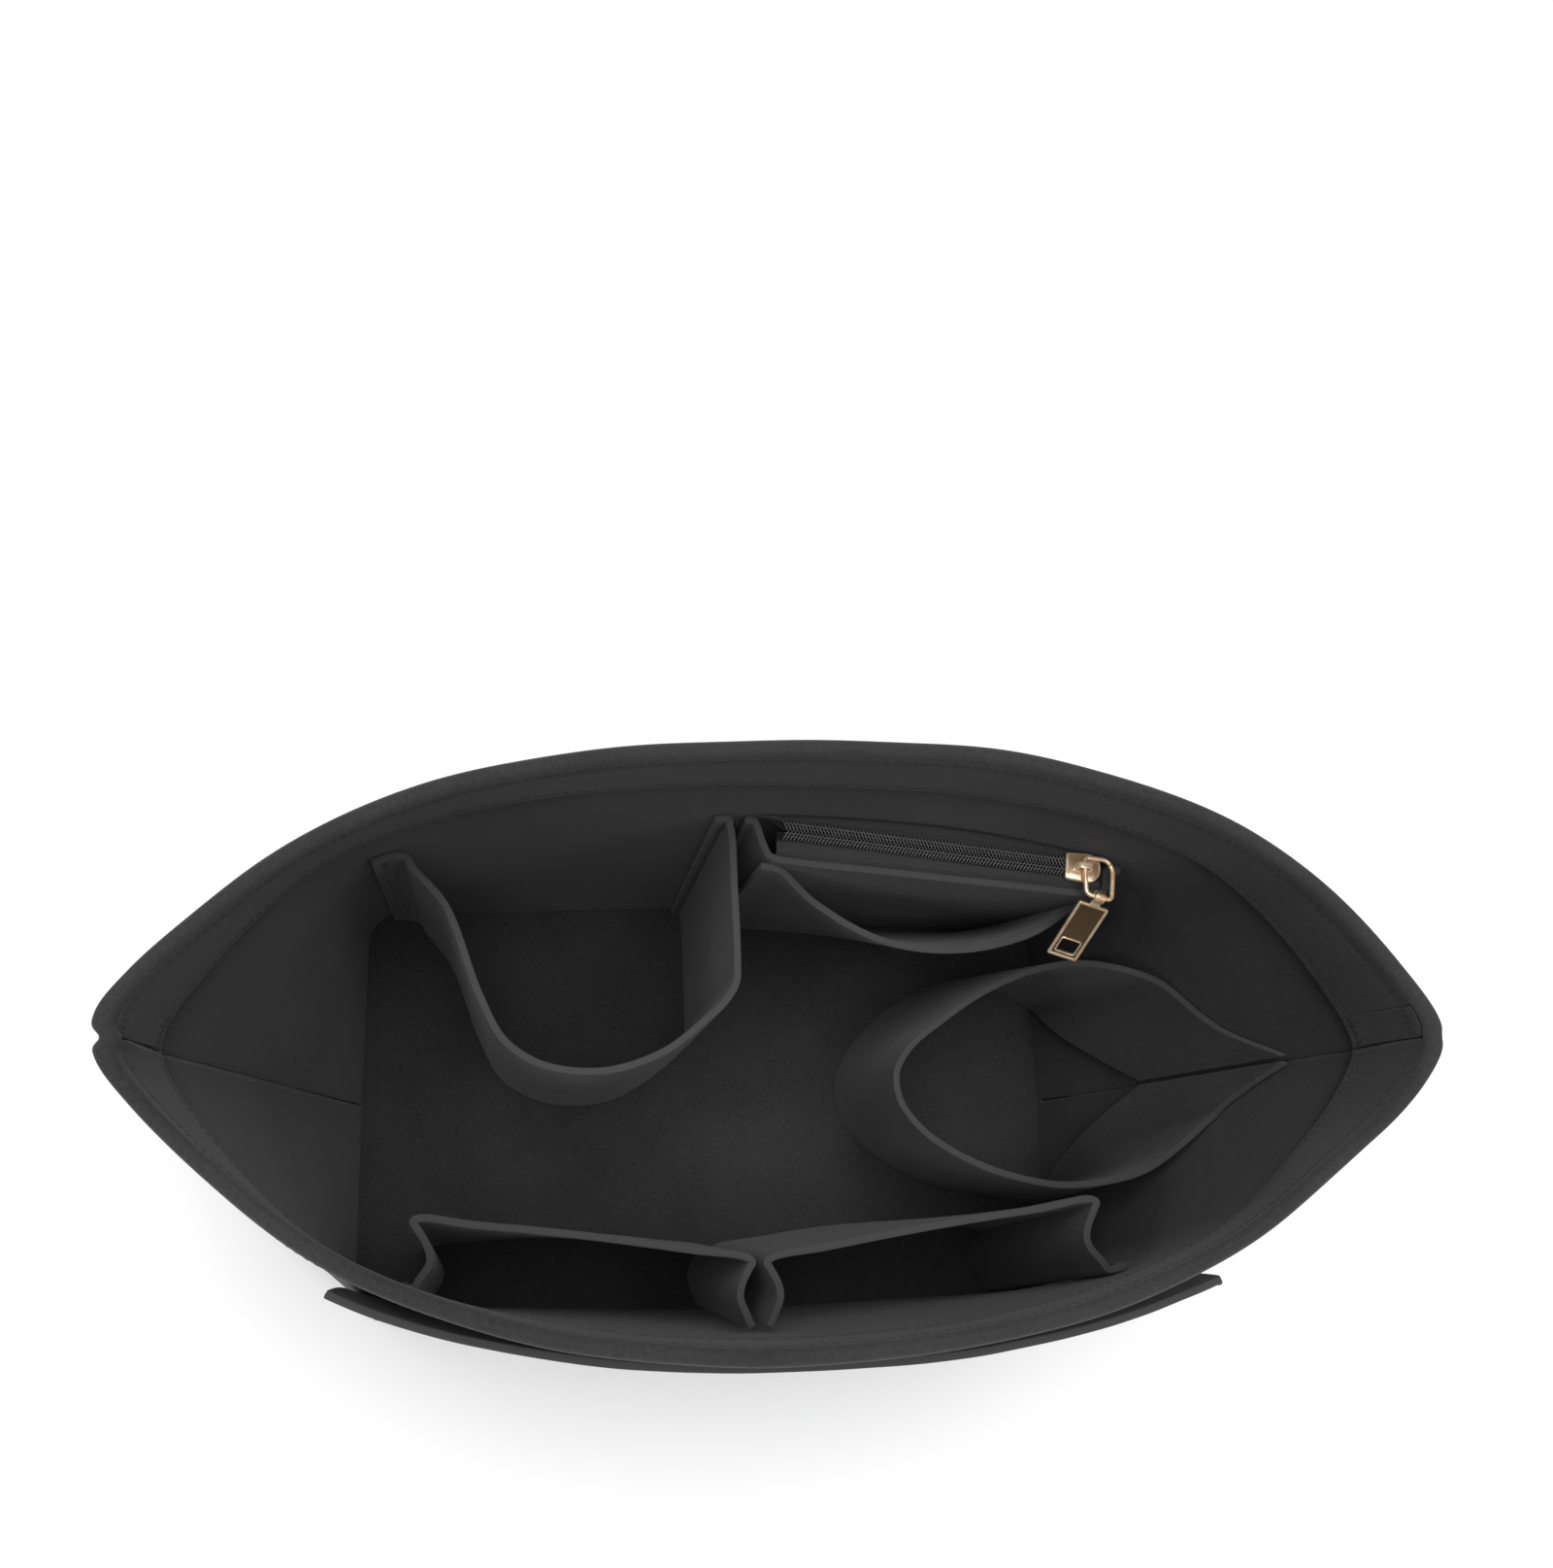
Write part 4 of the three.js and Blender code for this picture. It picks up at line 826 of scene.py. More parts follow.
def tip_recess(side, share, level, kind):
    """The shallow bed of a seam end on the back wall's hem: full depth inside its border, none
    outside, with a steep step. The bed is a slit wider than the patch on its long side."""
    run = np.minimum(share, 1 - share) * RIM_RUN
    inside = 1 - step_up(run, TIP_WIDTH + at_end(share, TIP_SLIT) - 0.3, TIP_STEP)
    inside = inside * step_up(level, TIP_LOW - 0.4, TIP_STEP) * (1 - step_up(level, TIP_HIGH, TIP_STEP))
    return np.where((kind == HEM_FRONT) & (side > 0), TIP_RECESS * inside, 0)


def seam_shift(side, level, kind, run):
    """The move along y at the end seams: the outer faces close up, the inner ones stay apart by an
    uneven crack that wanders to both sides together, a sum of waves over the height."""
    closing = -side * (SEAM_GAP / 2 + CLOSE_OVERLAP) * bell(run, CLOSE_WIDTH)
    uneven = 1 + CRACK_UNEVEN * waves(level / CRACK_WAVE, 0 * level, CRACK_SEED)
    crack = side * CRACK_HALF * uneven * bell(run, CRACK_WIDTH)
    wander = WANDER_REACH * waves(level / WANDER_WAVE, 0 * level, WANDER_SEED) * bell(run, WANDER_WIDTH)
    return np.where(np.isin(kind, (OUTER_FACE, ROLL)), closing, crack + wander)


print("beds for the patches from", TIP_LOW, "to", TIP_HIGH, "mm")

# %% [markdown]
# ## Both walls
# The hook is carried along each wall in even steps that crowd towards the two tips, and its inset
# is changed at each point by everything above. The cut edge is kept paler, and the roll is marked for a
# painted highlight.

# %% Wall surfaces
WALL_COLUMNS, WALL_CROWDING = 560, 0.6
# ROLL_HIGHLIGHT is a painted highlight on the rim's roll. At 0.2 it sits at the start of the felt's ramp, so
# it adds no colour.
EDGE_PALE, ROLL_HIGHLIGHT = 0.9, 0.2


def wall_panel(name, side, node):
    """A wall: the hook section carried along the shares, with its inset changed at each point by
    the stitch lines, the swell and the end grooves."""
    inset, level, kind = wall_section()
    even = np.linspace(0, 1, WALL_COLUMNS)[:, None]
    share = even - WALL_CROWDING * np.sin(2 * np.pi * even) / (2 * np.pi)
    run = share * RIM_RUN
    recess = tip_recess(side, share, level, kind)
    depth = inset + WALL_PINCH[side] * seam_pull(level, kind, run) * (recess == 0) - recess
    depth = depth - wall_swell(side, share, level) + end_groove(share, level, kind)
    points = wall_point(side, share, np.broadcast_to(level, depth.shape), depth)
    points[..., 1] += seam_shift(side, level, kind, np.minimum(run, RIM_RUN - run))
    points, faces, ends = stacked(points)
    # The roll's share is a painted highlight. The hem's cut edge is paler felt.
    pale = (kind == HEM_EDGE) * EDGE_PALE + (kind == ROLL) * ROLL_HIGHLIGHT
    cut = np.broadcast_to(pale, depth.shape).ravel()
    make_object(name, points, faces, felt, node, extra=ends, cut=cut)


wall_panel("back_wall_felt", 1, "back_wall_panel")
wall_panel("front_wall_felt", -1, "front_wall_panel")

# %% [markdown]
# ## Stitches of the hem
# The same two lines show on both sides of the wall, so each is laid twice: on the hem's front and
# on the outer face, half a thread above the felt.

# %% Hem stitches
LINE_SHARES = np.linspace(0.012, 0.988, 900)


def wall_line(side, level, inset, facing):
    """A level line on a wall and its normals. They point into the tray if facing is 1 and out of
    it if facing is -1."""
    points = wall_point(side, LINE_SHARES, level, inset)
    further = wall_point(side, LINE_SHARES, level, inset + 1.0)
    return points, facing * unit(further - points)


def hem_lines(side):
    """Both stitch lines, inside and outside, at the depth that the felt has there."""
    lines = []
    for seam, pinch in zip(SEAM_LEVELS, WALL_PINCH[side] * np.array(SEAM_PINCH)):
        swell = wall_swell(side, LINE_SHARES, seam)
        lines.append(wall_line(side, seam, 2 * FELT + FOLD_GAP - pinch + THREAD_LIFT - swell, 1))
        lines.append(wall_line(side, seam, OUTSIDE_PULL * pinch - THREAD_LIFT - swell, -1))
    return lines


stitch_row("back_hem_stitches", hem_lines(1))
stitch_row("front_hem_stitches", hem_lines(-1))

# %% [markdown]
# ## Base
# The base is a plain felt plate. At its two short ends the walls' seam allowance lies on it as a
# low step, seen in the photograph as two lines close together.

# %% Base plate
BASE_STEPS = 360
BASE_COLUMNS, BASE_ROWS, BASE_CROWDING = 241, 121, 0.65
ALLOWANCE = {"left": 7.9, "right": 10.0}
ALLOWANCE_DEPTH, ALLOWANCE_WIDTH, ALLOWANCE_SLANT, ALLOWANCE_FADE = 0.42, 0.6, 0.02, 6.0
FOOT_DEPTH, FOOT_WIDTH, FOOT_OFFSET = 0.22, 0.5, 0.3
BASE_RELIEF, BASE_SEED = 0.12, 5
BASE_PALE = 0.4


def base_height(x, y):
    """The top face: a slow relief, a shallow groove beside each end's seam allowance, of which the
    left one shows on the back half alone, and a fainter one where the felt dips under a wall."""
    u, v = x / BASE_LENGTH, y / BASE_WIDTH
    from_end = HALF_BASE - np.abs(x)
    allowance = np.where(x < 0, ALLOWANCE["left"] - ALLOWANCE_SLANT * y, ALLOWANCE["right"])
    shown = np.where(x < 0, step_up(y, 0.0, ALLOWANCE_FADE), 1.0)
    groove = ALLOWANCE_DEPTH * shown * bell(from_end - allowance, ALLOWANCE_WIDTH)
    groove += FOOT_DEPTH * bell(from_end - FELT - FOOT_OFFSET, FOOT_WIDTH)
    return FELT + BASE_RELIEF * waves(u * 2, v * 2, BASE_SEED) - groove


def base_plate():
    """Centre points of the plate: columns along its length that crowd towards both ends, each
    reaching from outline to outline."""
    x, y = base_outline(np.linspace(0, 1, BASE_STEPS, endpoint=False), CUT_BULGE)
    even = np.linspace(-1, 1, BASE_COLUMNS)
    column_x = (even + BASE_CROWDING * np.sin(np.pi * even) / np.pi) * (HALF_BASE - CUT_BULGE)
    half_width = np.maximum(np.interp(column_x, x, y), END_RUN)
    grid_x = np.broadcast_to(column_x[:, None], (BASE_COLUMNS, BASE_ROWS))
    grid_y = half_width[:, None] * np.linspace(-1, 1, BASE_ROWS)[None]
    height = base_height(grid_x, grid_y) - FELT / 2
    return np.stack([grid_x + MIDDLE[0], grid_y + MIDDLE[1], height], -1)


base_points, base_faces, base_cut = sheet_arrays(base_plate(), FELT)
base_points[:, 2] = np.maximum(base_points[:, 2], 0.0)
make_object("base_felt", base_points, base_faces, felt, "base_panel", cut=base_cut * BASE_PALE)

# %% [markdown]
# ## Standing strips
# Every inner pocket is one felt strip that stands on its edge. Its plan is a smooth line through
# a few points at the top and a few at the foot, and the surface between is the mix of the two. A
# slight wave in the top edge and in the face keeps it from looking machined.

# %% Strip helper
STRIP_ROWS = 46
STRIP_STEPS = 12
FACE_WAVE, EDGE_WAVE = 90, 60
EDGE_SEED_STEP = 50


def felt_sheet(name, grid, node, seed, relief=0.10, edge_wave=0.25):
    """A felt piece from a grid of centre points: it gets a slow relief along its normals, a slight
    wave in its top edge, its thickness and its cut border."""
    rows, columns = grid.shape[:2]
    u, v = np.linspace(0, 1, columns)[None], np.linspace(0, 1, rows)[:, None]
    length = np.linalg.norm(np.diff(grid[-1], axis=0), axis=1).sum()
    wave = waves(u * length / FACE_WAVE, v * 1.5, seed)
    grid = grid + grid_normals(grid) * (relief * wave)[..., None]
    grid[..., 2] += edge_wave * v**4 * waves(u * length / EDGE_WAVE, 0 * v, seed + EDGE_SEED_STEP)
    points, faces, cut = sheet_arrays(grid, FELT)
    make_object(name, points, faces, felt, node, cut=cut)


def standing_strip(top, foot, height, place, rows=STRIP_ROWS):
    """A grid from two plans: each plan is rows of x and standoff, mixed by height, put in place
    at their level and joined by a smooth line."""
    top, foot = np.array(top, float), np.array(foot, float)
    lines = []
    for t in np.linspace(0, 1, rows):
        plan = foot + (top - foot) * t
        level = STRIP_FOOT + (height - STRIP_FOOT) * t
        lines.append(place(plan[:, 0], level, plan[:, 1]))
    return smooth_line(np.stack(lines), STRIP_STEPS)


print("each strip has", STRIP_ROWS, "levels")

# %% [markdown]
# ## Deep pocket
# The largest pocket is a U of felt at the back left. Its left end is turned out flat on the wall
# and its right end is turned in.

# %% Deep pocket
WALLET_LEFT, WALLET_WIDTH, WALLET_DEPTH = -126.5, 117.0, 84.0
WALLET_HEIGHT = HEM_LEVEL - 46
WALLET_LEFT_TAB, WALLET_RIGHT_TAB = 10.0, 7.0
WALLET_FOOT_SHARE = 0.94
TAB_LIFT = 0.05 * FELT
WALLET_SHARES = [
    (0.012, 0.022), (0.03, 0.07), (0.129, 0.26), (0.235, 0.66), (0.31, 0.87), (0.40, 0.975),
    (0.50, 1.03), (0.61, 1.045), (0.71, 1.02), (0.80, 0.965), (0.90, 0.86), (0.965, 0.775),
    (0.997, 0.70), (0.999, 0.60), (0.995, 0.34), (0.988, 0.07), (0.982, 0.03),
]


def wallet_plan(depth_share):
    """The U as x and standoff from the wall, with its two tabs."""
    right = WALLET_LEFT + WALLET_WIDTH
    bow = [(WALLET_LEFT + u * WALLET_WIDTH, v * WALLET_DEPTH * depth_share) for u, v in WALLET_SHARES]
    left_tab = [(WALLET_LEFT - WALLET_LEFT_TAB, 0), (WALLET_LEFT - WALLET_LEFT_TAB / 2, 0)]
    left_tab += [(WALLET_LEFT - WALLET_LEFT_TAB / 5, TAB_LIFT)]
    right_tab = [(right - WALLET_RIGHT_TAB / 3, TAB_LIFT), (right - WALLET_RIGHT_TAB, 0)]
    return left_tab + bow + right_tab


def against_back(x, level, standoff):
    """Points off the back wall."""
    return off_wall(1, x, level, standoff)


wallet_grid = standing_strip(wallet_plan(1), wallet_plan(WALLET_FOOT_SHARE), WALLET_HEIGHT, against_back)
felt_sheet("deep_pocket_felt", wallet_grid, "wallet_pocket", seed=21)

# %% [markdown]
# ## Zipped pocket and slip pocket
# The zipped pocket's front is a flat panel a finger's width off the wall. The slip pocket is sewn
# over it and bulges away between its ends.

# %% Zipped pocket
ZIP_LEFT, ZIP_RIGHT = -5.4, 127.5
ZIP_HEIGHT = HEM_LEVEL - 47
ZIP_LEFT_DEPTH, ZIP_RIGHT_DEPTH, ZIP_FOOT_DEPTH = 13.6, 11.4, 2.6
ZIP_CORNER = 6.0
ZIP_LEFT_SHARES = np.array([[0, 0], [0.25, 0], [0.5, 0.05], [1, 0.62], [1.4, 0.93]])
ZIP_RIGHT_SHARES = np.array([[-0.25, 0.96], [0, 0.8], [0.1, 0.4], [0.3, 0.06], [1, 0]])
ZIP_TOP_LEFT = off_wall(1, ZIP_LEFT, ZIP_HEIGHT, ZIP_LEFT_DEPTH)
ZIP_TOP_RIGHT = off_wall(1, ZIP_RIGHT, ZIP_HEIGHT, ZIP_RIGHT_DEPTH)


def zip_panel_point(x, level):
    """The zipped pocket's front: a straight line in plan at the top, near the wall at the foot,
    and straight between the two."""
    x = np.asarray(x, float)
    along = (x - ZIP_LEFT) / (ZIP_RIGHT - ZIP_LEFT)
    top_y = ZIP_TOP_LEFT[1] + (ZIP_TOP_RIGHT[1] - ZIP_TOP_LEFT[1]) * along
    foot_y = off_wall(1, x, FLOOR_LEVEL, ZIP_FOOT_DEPTH)[..., 1]
    t = (level - FLOOR_LEVEL) / (ZIP_HEIGHT - FLOOR_LEVEL)
    return np.stack([x, foot_y + (top_y - foot_y) * t, np.full_like(x, level)], -1)


def zip_panel_row(level):
    """One level of the panel: its left end, its flat front and its right end."""

    def depth(x):
        return off_wall(1, x, level, 0)[1] - zip_panel_point(x, level)[1]

    u, v = ZIP_LEFT_SHARES.T
    left = off_wall(1, ZIP_LEFT + u * ZIP_CORNER, level, v * depth(ZIP_LEFT + ZIP_CORNER))
    front = zip_panel_point(np.linspace(ZIP_LEFT + 3 * ZIP_CORNER, ZIP_RIGHT - ZIP_CORNER, 7), level)
    u, v = ZIP_RIGHT_SHARES.T
    right = off_wall(1, ZIP_RIGHT + u * ZIP_CORNER, level, v * depth(ZIP_RIGHT))
    return np.concatenate([left, front, right])


zip_levels = np.linspace(STRIP_FOOT, ZIP_HEIGHT, STRIP_ROWS)
zip_grid = smooth_line(np.stack([zip_panel_row(level) for level in zip_levels]), STRIP_STEPS)
felt_sheet("zip_pocket_felt", zip_grid, "zip_pocket", seed=31, relief=0.05, edge_wave=0.12)

# %% [markdown]
# The slip pocket follows the zipped pocket's front, and its left corner stands a little higher.

# %% Slip pocket
SLIP_LEFT, SLIP_RIGHT = ZIP_LEFT + 5.9, ZIP_RIGHT - 1.5
SLIP_HEIGHT = HEM_LEVEL - 66
SLIP_BULGE, SLIP_FOOT_BULGE = 21.5, 1.6
SLIP_CORNER_RISE, SLIP_CORNER_SHARE = 15.0, 0.17
SLIP_SHARES = np.array([
    (0, 0), (0.03, 0), (0.06, 0.04), (0.11, 0.2), (0.19, 0.46), (0.27, 0.72), (0.37, 0.93), (0.50, 1.02),
    (0.62, 0.96), (0.72, 0.81), (0.82, 0.58), (0.89, 0.33), (0.935, 0.12), (0.96, 0.03), (0.98, 0), (1, 0),
])


def slip_plan(bulge):
    """The slip pocket as x and standoff from the zipped pocket's front."""
    u, v = SLIP_SHARES.T
    return np.stack([SLIP_LEFT + u * (SLIP_RIGHT - SLIP_LEFT), v * bulge], -1)


def over_zip_panel(x, level, standoff):
    """Points in front of the zipped pocket."""
    point = zip_panel_point(x, level)
    point[..., 1] -= FELT + SEAM_GAP + standoff
    return point


slip_top, slip_foot = slip_plan(SLIP_BULGE), slip_plan(SLIP_FOOT_BULGE)
slip_grid = standing_strip(slip_top, slip_foot, SLIP_HEIGHT, over_zip_panel)
slip_along = np.clip((slip_grid[..., 0] - SLIP_LEFT) / (SLIP_RIGHT - SLIP_LEFT), 0, 1)
slip_rise = (slip_grid[..., 2] - STRIP_FOOT) / (SLIP_HEIGHT - STRIP_FOOT)
slip_grid[..., 2] += SLIP_CORNER_RISE * (1 - step_up(slip_along, 0.02, SLIP_CORNER_SHARE)) * slip_rise**3
felt_sheet("slip_pocket_felt", slip_grid, "slip_pocket", seed=41, relief=0.06)

# %% [markdown]
# ## Front pockets
# Two pockets stand side by side on the front wall. Each is one strip whose ends fold inwards like
# a bellows, so that the pocket can open.

# %% Front pockets
BELLOWS_HEIGHT = HEM_LEVEL - 54
BELLOWS_DEPTH, BELLOWS_RIGHT_DEPTH, BELLOWS_BULGE = 23.0, 26.0, 5.0
BELLOWS_SPAN, BELLOWS_FLARE, BELLOWS_FOLD = 119.0, 4.0, 6.0
BELLOWS_CENTRE, BELLOWS_GAP, BELLOWS_CENTRE_FOLD = -2.0, 5.0, 4.4
BELLOWS_TAB = 6.0
BELLOWS_END_SHARES = [
    (0.15, 0.03), (0.4, 0.15), (0.95, 0.4), (1, 0.52), (0.8, 0.66), (0.25, 0.86), (0, 0.95),
]


def bellows_end(end, inward):
    """The inward fold at one end: shares of its fold and of the pocket's depth."""
    fold = [
        (end["wall"] + (end["front"] - end["wall"]) * v + inward * u * end["fold"], v * end["depth"])
        for u, v in BELLOWS_END_SHARES
    ]
    tab = [(end["wall"] - inward * end["tab"], 0), (end["wall"] - inward * end["tab"] / 2, 0)]
    corner = [(end["front"] + inward * FELT, end["depth"] + FELT / 4)]
    return (tab if end["tab"] else []) + fold + corner


def bellows_plan(left, right):
    """Left end, bulging front and right end, as x and standoff from the front wall."""
    t = np.arange(1, 6) / 6
    x = left["front"] + (right["front"] - left["front"]) * t
    depth = left["depth"] + (right["depth"] - left["depth"]) * t + BELLOWS_BULGE * np.sin(np.pi * t)
    return bellows_end(left, 1) + list(zip(x, depth)) + bellows_end(right, -1)[::-1]


def bellows_outer(side):
    """The outer end of the left pocket, side -1, or the right one, side 1."""
    return {
        "wall": side * (BELLOWS_SPAN + (BELLOWS_FLARE if side > 0 else 0)),
        "front": side * BELLOWS_SPAN,
        "fold": BELLOWS_FOLD,
        "depth": BELLOWS_RIGHT_DEPTH if side > 0 else BELLOWS_DEPTH,
        "tab": BELLOWS_TAB,
    }


def bellows_inner(side):
    """The end beside the other pocket."""
    x = BELLOWS_CENTRE + side * BELLOWS_GAP / 2
    return {"wall": x, "front": x, "fold": BELLOWS_CENTRE_FOLD, "depth": BELLOWS_DEPTH, "tab": 0}


def against_front(x, level, standoff):
    """Points off the front wall."""
    return off_wall(-1, x, level, standoff)


for name, left_end, right_end, seed in (
    ("front_left_pocket", bellows_outer(-1), bellows_inner(-1), 51),
    ("front_right_pocket", bellows_inner(1), bellows_outer(1), 61),
):
    plan = bellows_plan(left_end, right_end)
    bellows_grid = standing_strip(plan, plan, BELLOWS_HEIGHT, against_front)
    felt_sheet(name + "_felt", bellows_grid, name, seed, relief=0.08)

# %% [markdown]
# ## Bottle loop
# One band makes the loop at the right. Its ends meet in the end seam: the foot climbs the end
# wall, and the top line is level on the open side and rises to the seam.

# %% Bottle loop
LOOP_REACH, LOOP_FOOT_BACK, LOOP_FOOT_FRONT = 89.0, 52.0, 40.0
LOOP_HEAD_REACH, LOOP_HEAD_BACK, LOOP_HEAD_FRONT = 126.0, 45.0, 40.5
LOOP_HEIGHT, LOOP_SEAM_HEIGHT = 105.0, 90.0
LOOP_SEAM_LEVEL = HEM_LEVEL - 34
LOOP_WALL_RUN, LOOP_BELLY, LOOP_SEAM_MARGIN = 42.0, 2.4, 1.2
LOOP_LAY = FELT + 5 * SEAM_GAP + FELT / 2
LOOP_FLOOR = FLOOR_LEVEL + SEAM_GAP
LOOP_FOOT_SHARES = np.array([
    (0.16, 0.97), (0.30, 1.02), (0.44, 1.00), (0.68, 0.81), (0.84, 0.58), (0.94, 0.36), (0.99, 0.13),
    (0.97, -0.15), (0.87, -0.42), (0.69, -0.71), (0.46, -0.91), (0.22, -1.01),
])
LOOP_HEAD_SHARES = np.array([
    (0.205, 0.79, 0.31), (0.325, 0.93, 0.23), (0.43, 0.99, 0.12), (0.556, 0.94, 0.02), (0.714, 0.75, 0),
    (0.86, 0.48, 0), (0.944, 0.29, 0), (0.99, 0.07, 0), (0.98, -0.2, 0), (0.91, -0.48, 0),
    (0.76, -0.77, 0), (0.60, -0.94, 0.01), (0.468, -1, 0.1), (0.28, -0.89, 0.28),
])
LOOP_WALL_SHARES = np.array([(0.19, 0.787), (0.333, 0.627), (0.5, 0.507)])


def loop_wall_point(side, run, level, lay):
    """A point on the end wall, by its run from the right-hand end seam."""
    return wall_point(side, 1 - np.asarray(run) / HALF_BASE_RUN, level, lay)


def loop_foot():
    """The foot line: down the end wall from the seam, round the floor and up again."""
    t = np.linspace(0, 1, 5)
    level = LOOP_SEAM_HEIGHT + (LOOP_FLOOR - LOOP_SEAM_HEIGHT) * t
    lay = LOOP_LAY + LOOP_BELLY * np.sin(np.pi * t)
    run = LOOP_SEAM_MARGIN + t * LOOP_WALL_RUN
    climb = [loop_wall_point(side, run, level, lay) for side in (1, -1)]
    u, v = LOOP_FOOT_SHARES.T
    y = v * np.where(v > 0, LOOP_FOOT_BACK, LOOP_FOOT_FRONT)
    x = HALF_BASE - LOOP_LAY - u * LOOP_REACH
    free = np.stack([x, y + MIDDLE[1], np.full_like(x, LOOP_FLOOR)], -1)
    return np.concatenate([climb[0], free, climb[1][::-1]])


def loop_head():
    """The top line, from the seam along the wall, round the open side and back."""
    rise = LOOP_SEAM_LEVEL - LOOP_HEIGHT
    seam = [loop_wall_point(side, [LOOP_SEAM_MARGIN], LOOP_SEAM_LEVEL, LOOP_LAY) for side in (1, -1)]
    u, w = LOOP_WALL_SHARES.T
    wall = [loop_wall_point(side, u * LOOP_WALL_RUN, LOOP_HEIGHT + rise * w, LOOP_LAY) for side in (1, -1)]
    u, v, w = LOOP_HEAD_SHARES.T
    y = v * np.where(v > 0, LOOP_HEAD_BACK, LOOP_HEAD_FRONT)
    x = seam[0][0, 0] - u * LOOP_HEAD_REACH
    free = np.stack([x, y + MIDDLE[1], LOOP_HEIGHT + rise * w], -1)
    return np.concatenate([seam[0], wall[0], free, wall[1][::-1], seam[1]])


loop_t = np.linspace(0, 1, STRIP_ROWS)[:, None, None]
foot_line, head_line = loop_foot(), loop_head()
loop_grid = smooth_line(foot_line + (head_line - foot_line) * loop_t, STRIP_STEPS)
loop_least = LOOP_FLOOR + (LOOP_HEIGHT - LOOP_FLOOR) * loop_t[..., 0]
loop_grid[..., 2] = np.maximum(loop_grid[..., 2], loop_least)
felt_sheet("bottle_loop_felt", loop_grid, "bottle_loop", seed=71, relief=0.08)

# %% [markdown]
# ## Outer pocket and seam ends
# A wide pocket lies on the outside of the front wall, with its top corners standing off. At the
# two tips of the rim the seam's turned-in ends are sewn down on the hem as small flat patches.

# %% Outer pocket
OUTER_WIDTH, OUTER_HEIGHT = 279.0, 215.0
OUTER_LEFT_GAPE, OUTER_RIGHT_GAPE = 5.0, 7.5
OUTER_LAY = -(2 * SEAM_GAP + FELT / 2)
OUTER_START = wall_share(-1, -OUTER_WIDTH / 2, OUTER_HEIGHT, 0)
OUTER_END = wall_share(-1, OUTER_WIDTH / 2, OUTER_HEIGHT, 0)


def outer_gape(share, level):
    """How far the pocket stands off the wall: a cube of the share towards each corner, and the
    square of the height over the pocket's middle."""
    right = (share - OUTER_START) / (OUTER_END - OUTER_START)
    rise = np.clip(2 * level / OUTER_HEIGHT - 1, 0, 1) ** 2
    return rise * (OUTER_LEFT_GAPE * (1 - right) ** 3 + OUTER_RIGHT_GAPE * right**3)


outer_share = np.linspace(OUTER_START, OUTER_END, 260)[None]
outer_level = np.linspace(FLOOR_LEVEL, OUTER_HEIGHT, 60)[:, None]
outer_swell = wall_swell(-1, outer_share, outer_level)
outer_grid = wall_point(-1, outer_share, outer_level, OUTER_LAY - outer_swell)
outer_grid[..., 1] -= outer_gape(outer_share, outer_level)
felt_sheet("outer_pocket_felt", outer_grid, "outer_pocket", seed=81, relief=0.05)

# %% [markdown]
# The tip patches are thinner than the felt around them, because they are pressed flat. Each fills
# its bed in the hem.

# %% Tip patches
TIP_MARGIN, TIP_THICKNESS, TIP_PROUD, TIP_BULGE = 0.75, 1.5, 0.3, 0.35
TIP_FACE = 2 * FELT + FOLD_GAP + TIP_PROUD
TIP_RELIEF, TIP_SEED, TIP_PALE = 0.08, 91, 0.15


def on_tip(left, run, level, depth):
    """Points on the back wall's hem next to an end seam, by the run from that seam."""
    share = run / RIM_RUN if left else 1 - run / RIM_RUN
    return wall_point(1, share, level, depth - wall_swell(1, share, level))


def tip_patch(name, left):
    """A patch with a slow relief. Its border is worn flat, so it is hardly paler."""
    run = np.linspace(TIP_MARGIN, TIP_WIDTH, 36)[None]
    level = np.linspace(TIP_LOW, TIP_HIGH, 60)[:, None]
    grid = on_tip(left, run if left else run[:, ::-1], level, TIP_FACE - TIP_THICKNESS / 2)
    relief = TIP_RELIEF * waves(run / 12, level / 25, TIP_SEED)
    grid = grid + grid_normals(grid) * relief[..., None]
    points, faces, cut = sheet_arrays(grid, TIP_THICKNESS, TIP_BULGE)
    make_object(name + "_felt", points, faces, felt, name, cut=cut * TIP_PALE)


tip_patch("left_tip_tab", True)
tip_patch("right_tip_tab", False)

# %% [markdown]
# ## The zip's own frame
# Everything on the zip is easiest to say in the chain's own directions: x along the chain, y
# across it towards the wall and z up. The joint of the slider gives the first direction, and the
# middle of the slider's CAD solid gives the origin.

# %% Chain frame
SLIDER_PLATE, SLIDER_SLOT = 1.0, 1.7


def node_points(name):
    """All points of a CAD node, in mm."""
    mesh = frame["nodes"][name].data
    flat = np.empty(3 * len(mesh.vertices), np.float32)
    mesh.vertices.foreach_get("co", flat)
    return flat.reshape(-1, 3).astype(float) / MM


slide_joint = next(joint for joint in frame["joints"] if joint["name"] == "zip_slide")
chain_x = unit(np.array(slide_joint["axis"], float))
chain_axes = np.stack([chain_x, np.cross([0.0, 0.0, 1.0], chain_x), [0.0, 0.0, 1.0]])
slider_box = node_points("zip_slider") @ chain_axes.T
chain_middle = (slider_box.min(0) + slider_box.max(0)) / 2
chain_middle[2] = slider_box[:, 2].min() + SLIDER_PLATE + SLIDER_SLOT / 2
coil_box = node_points("zip_coil_back") @ chain_axes.T - chain_middle
CHAIN_START, CHAIN_END = coil_box[:, 0].min(), coil_box[:, 0].max()


def on_chain(points):
    """Points of the chain's frame, put into the row frame."""
    return (np.asarray(points, float) + chain_middle) @ chain_axes


print("chain from", round(CHAIN_START, 1), "to", round(CHAIN_END, 1), "mm")

# %% [markdown]
# ## Nylon coils
# The teeth of this zip are two springs of nylon wire, pressed flat and sewn on the tapes. A spring
# is a helix: its section follows an oval with square shoulders while it moves a pitch along the
# chain with each turn. The front one is half a pitch ahead, so that the two mesh.

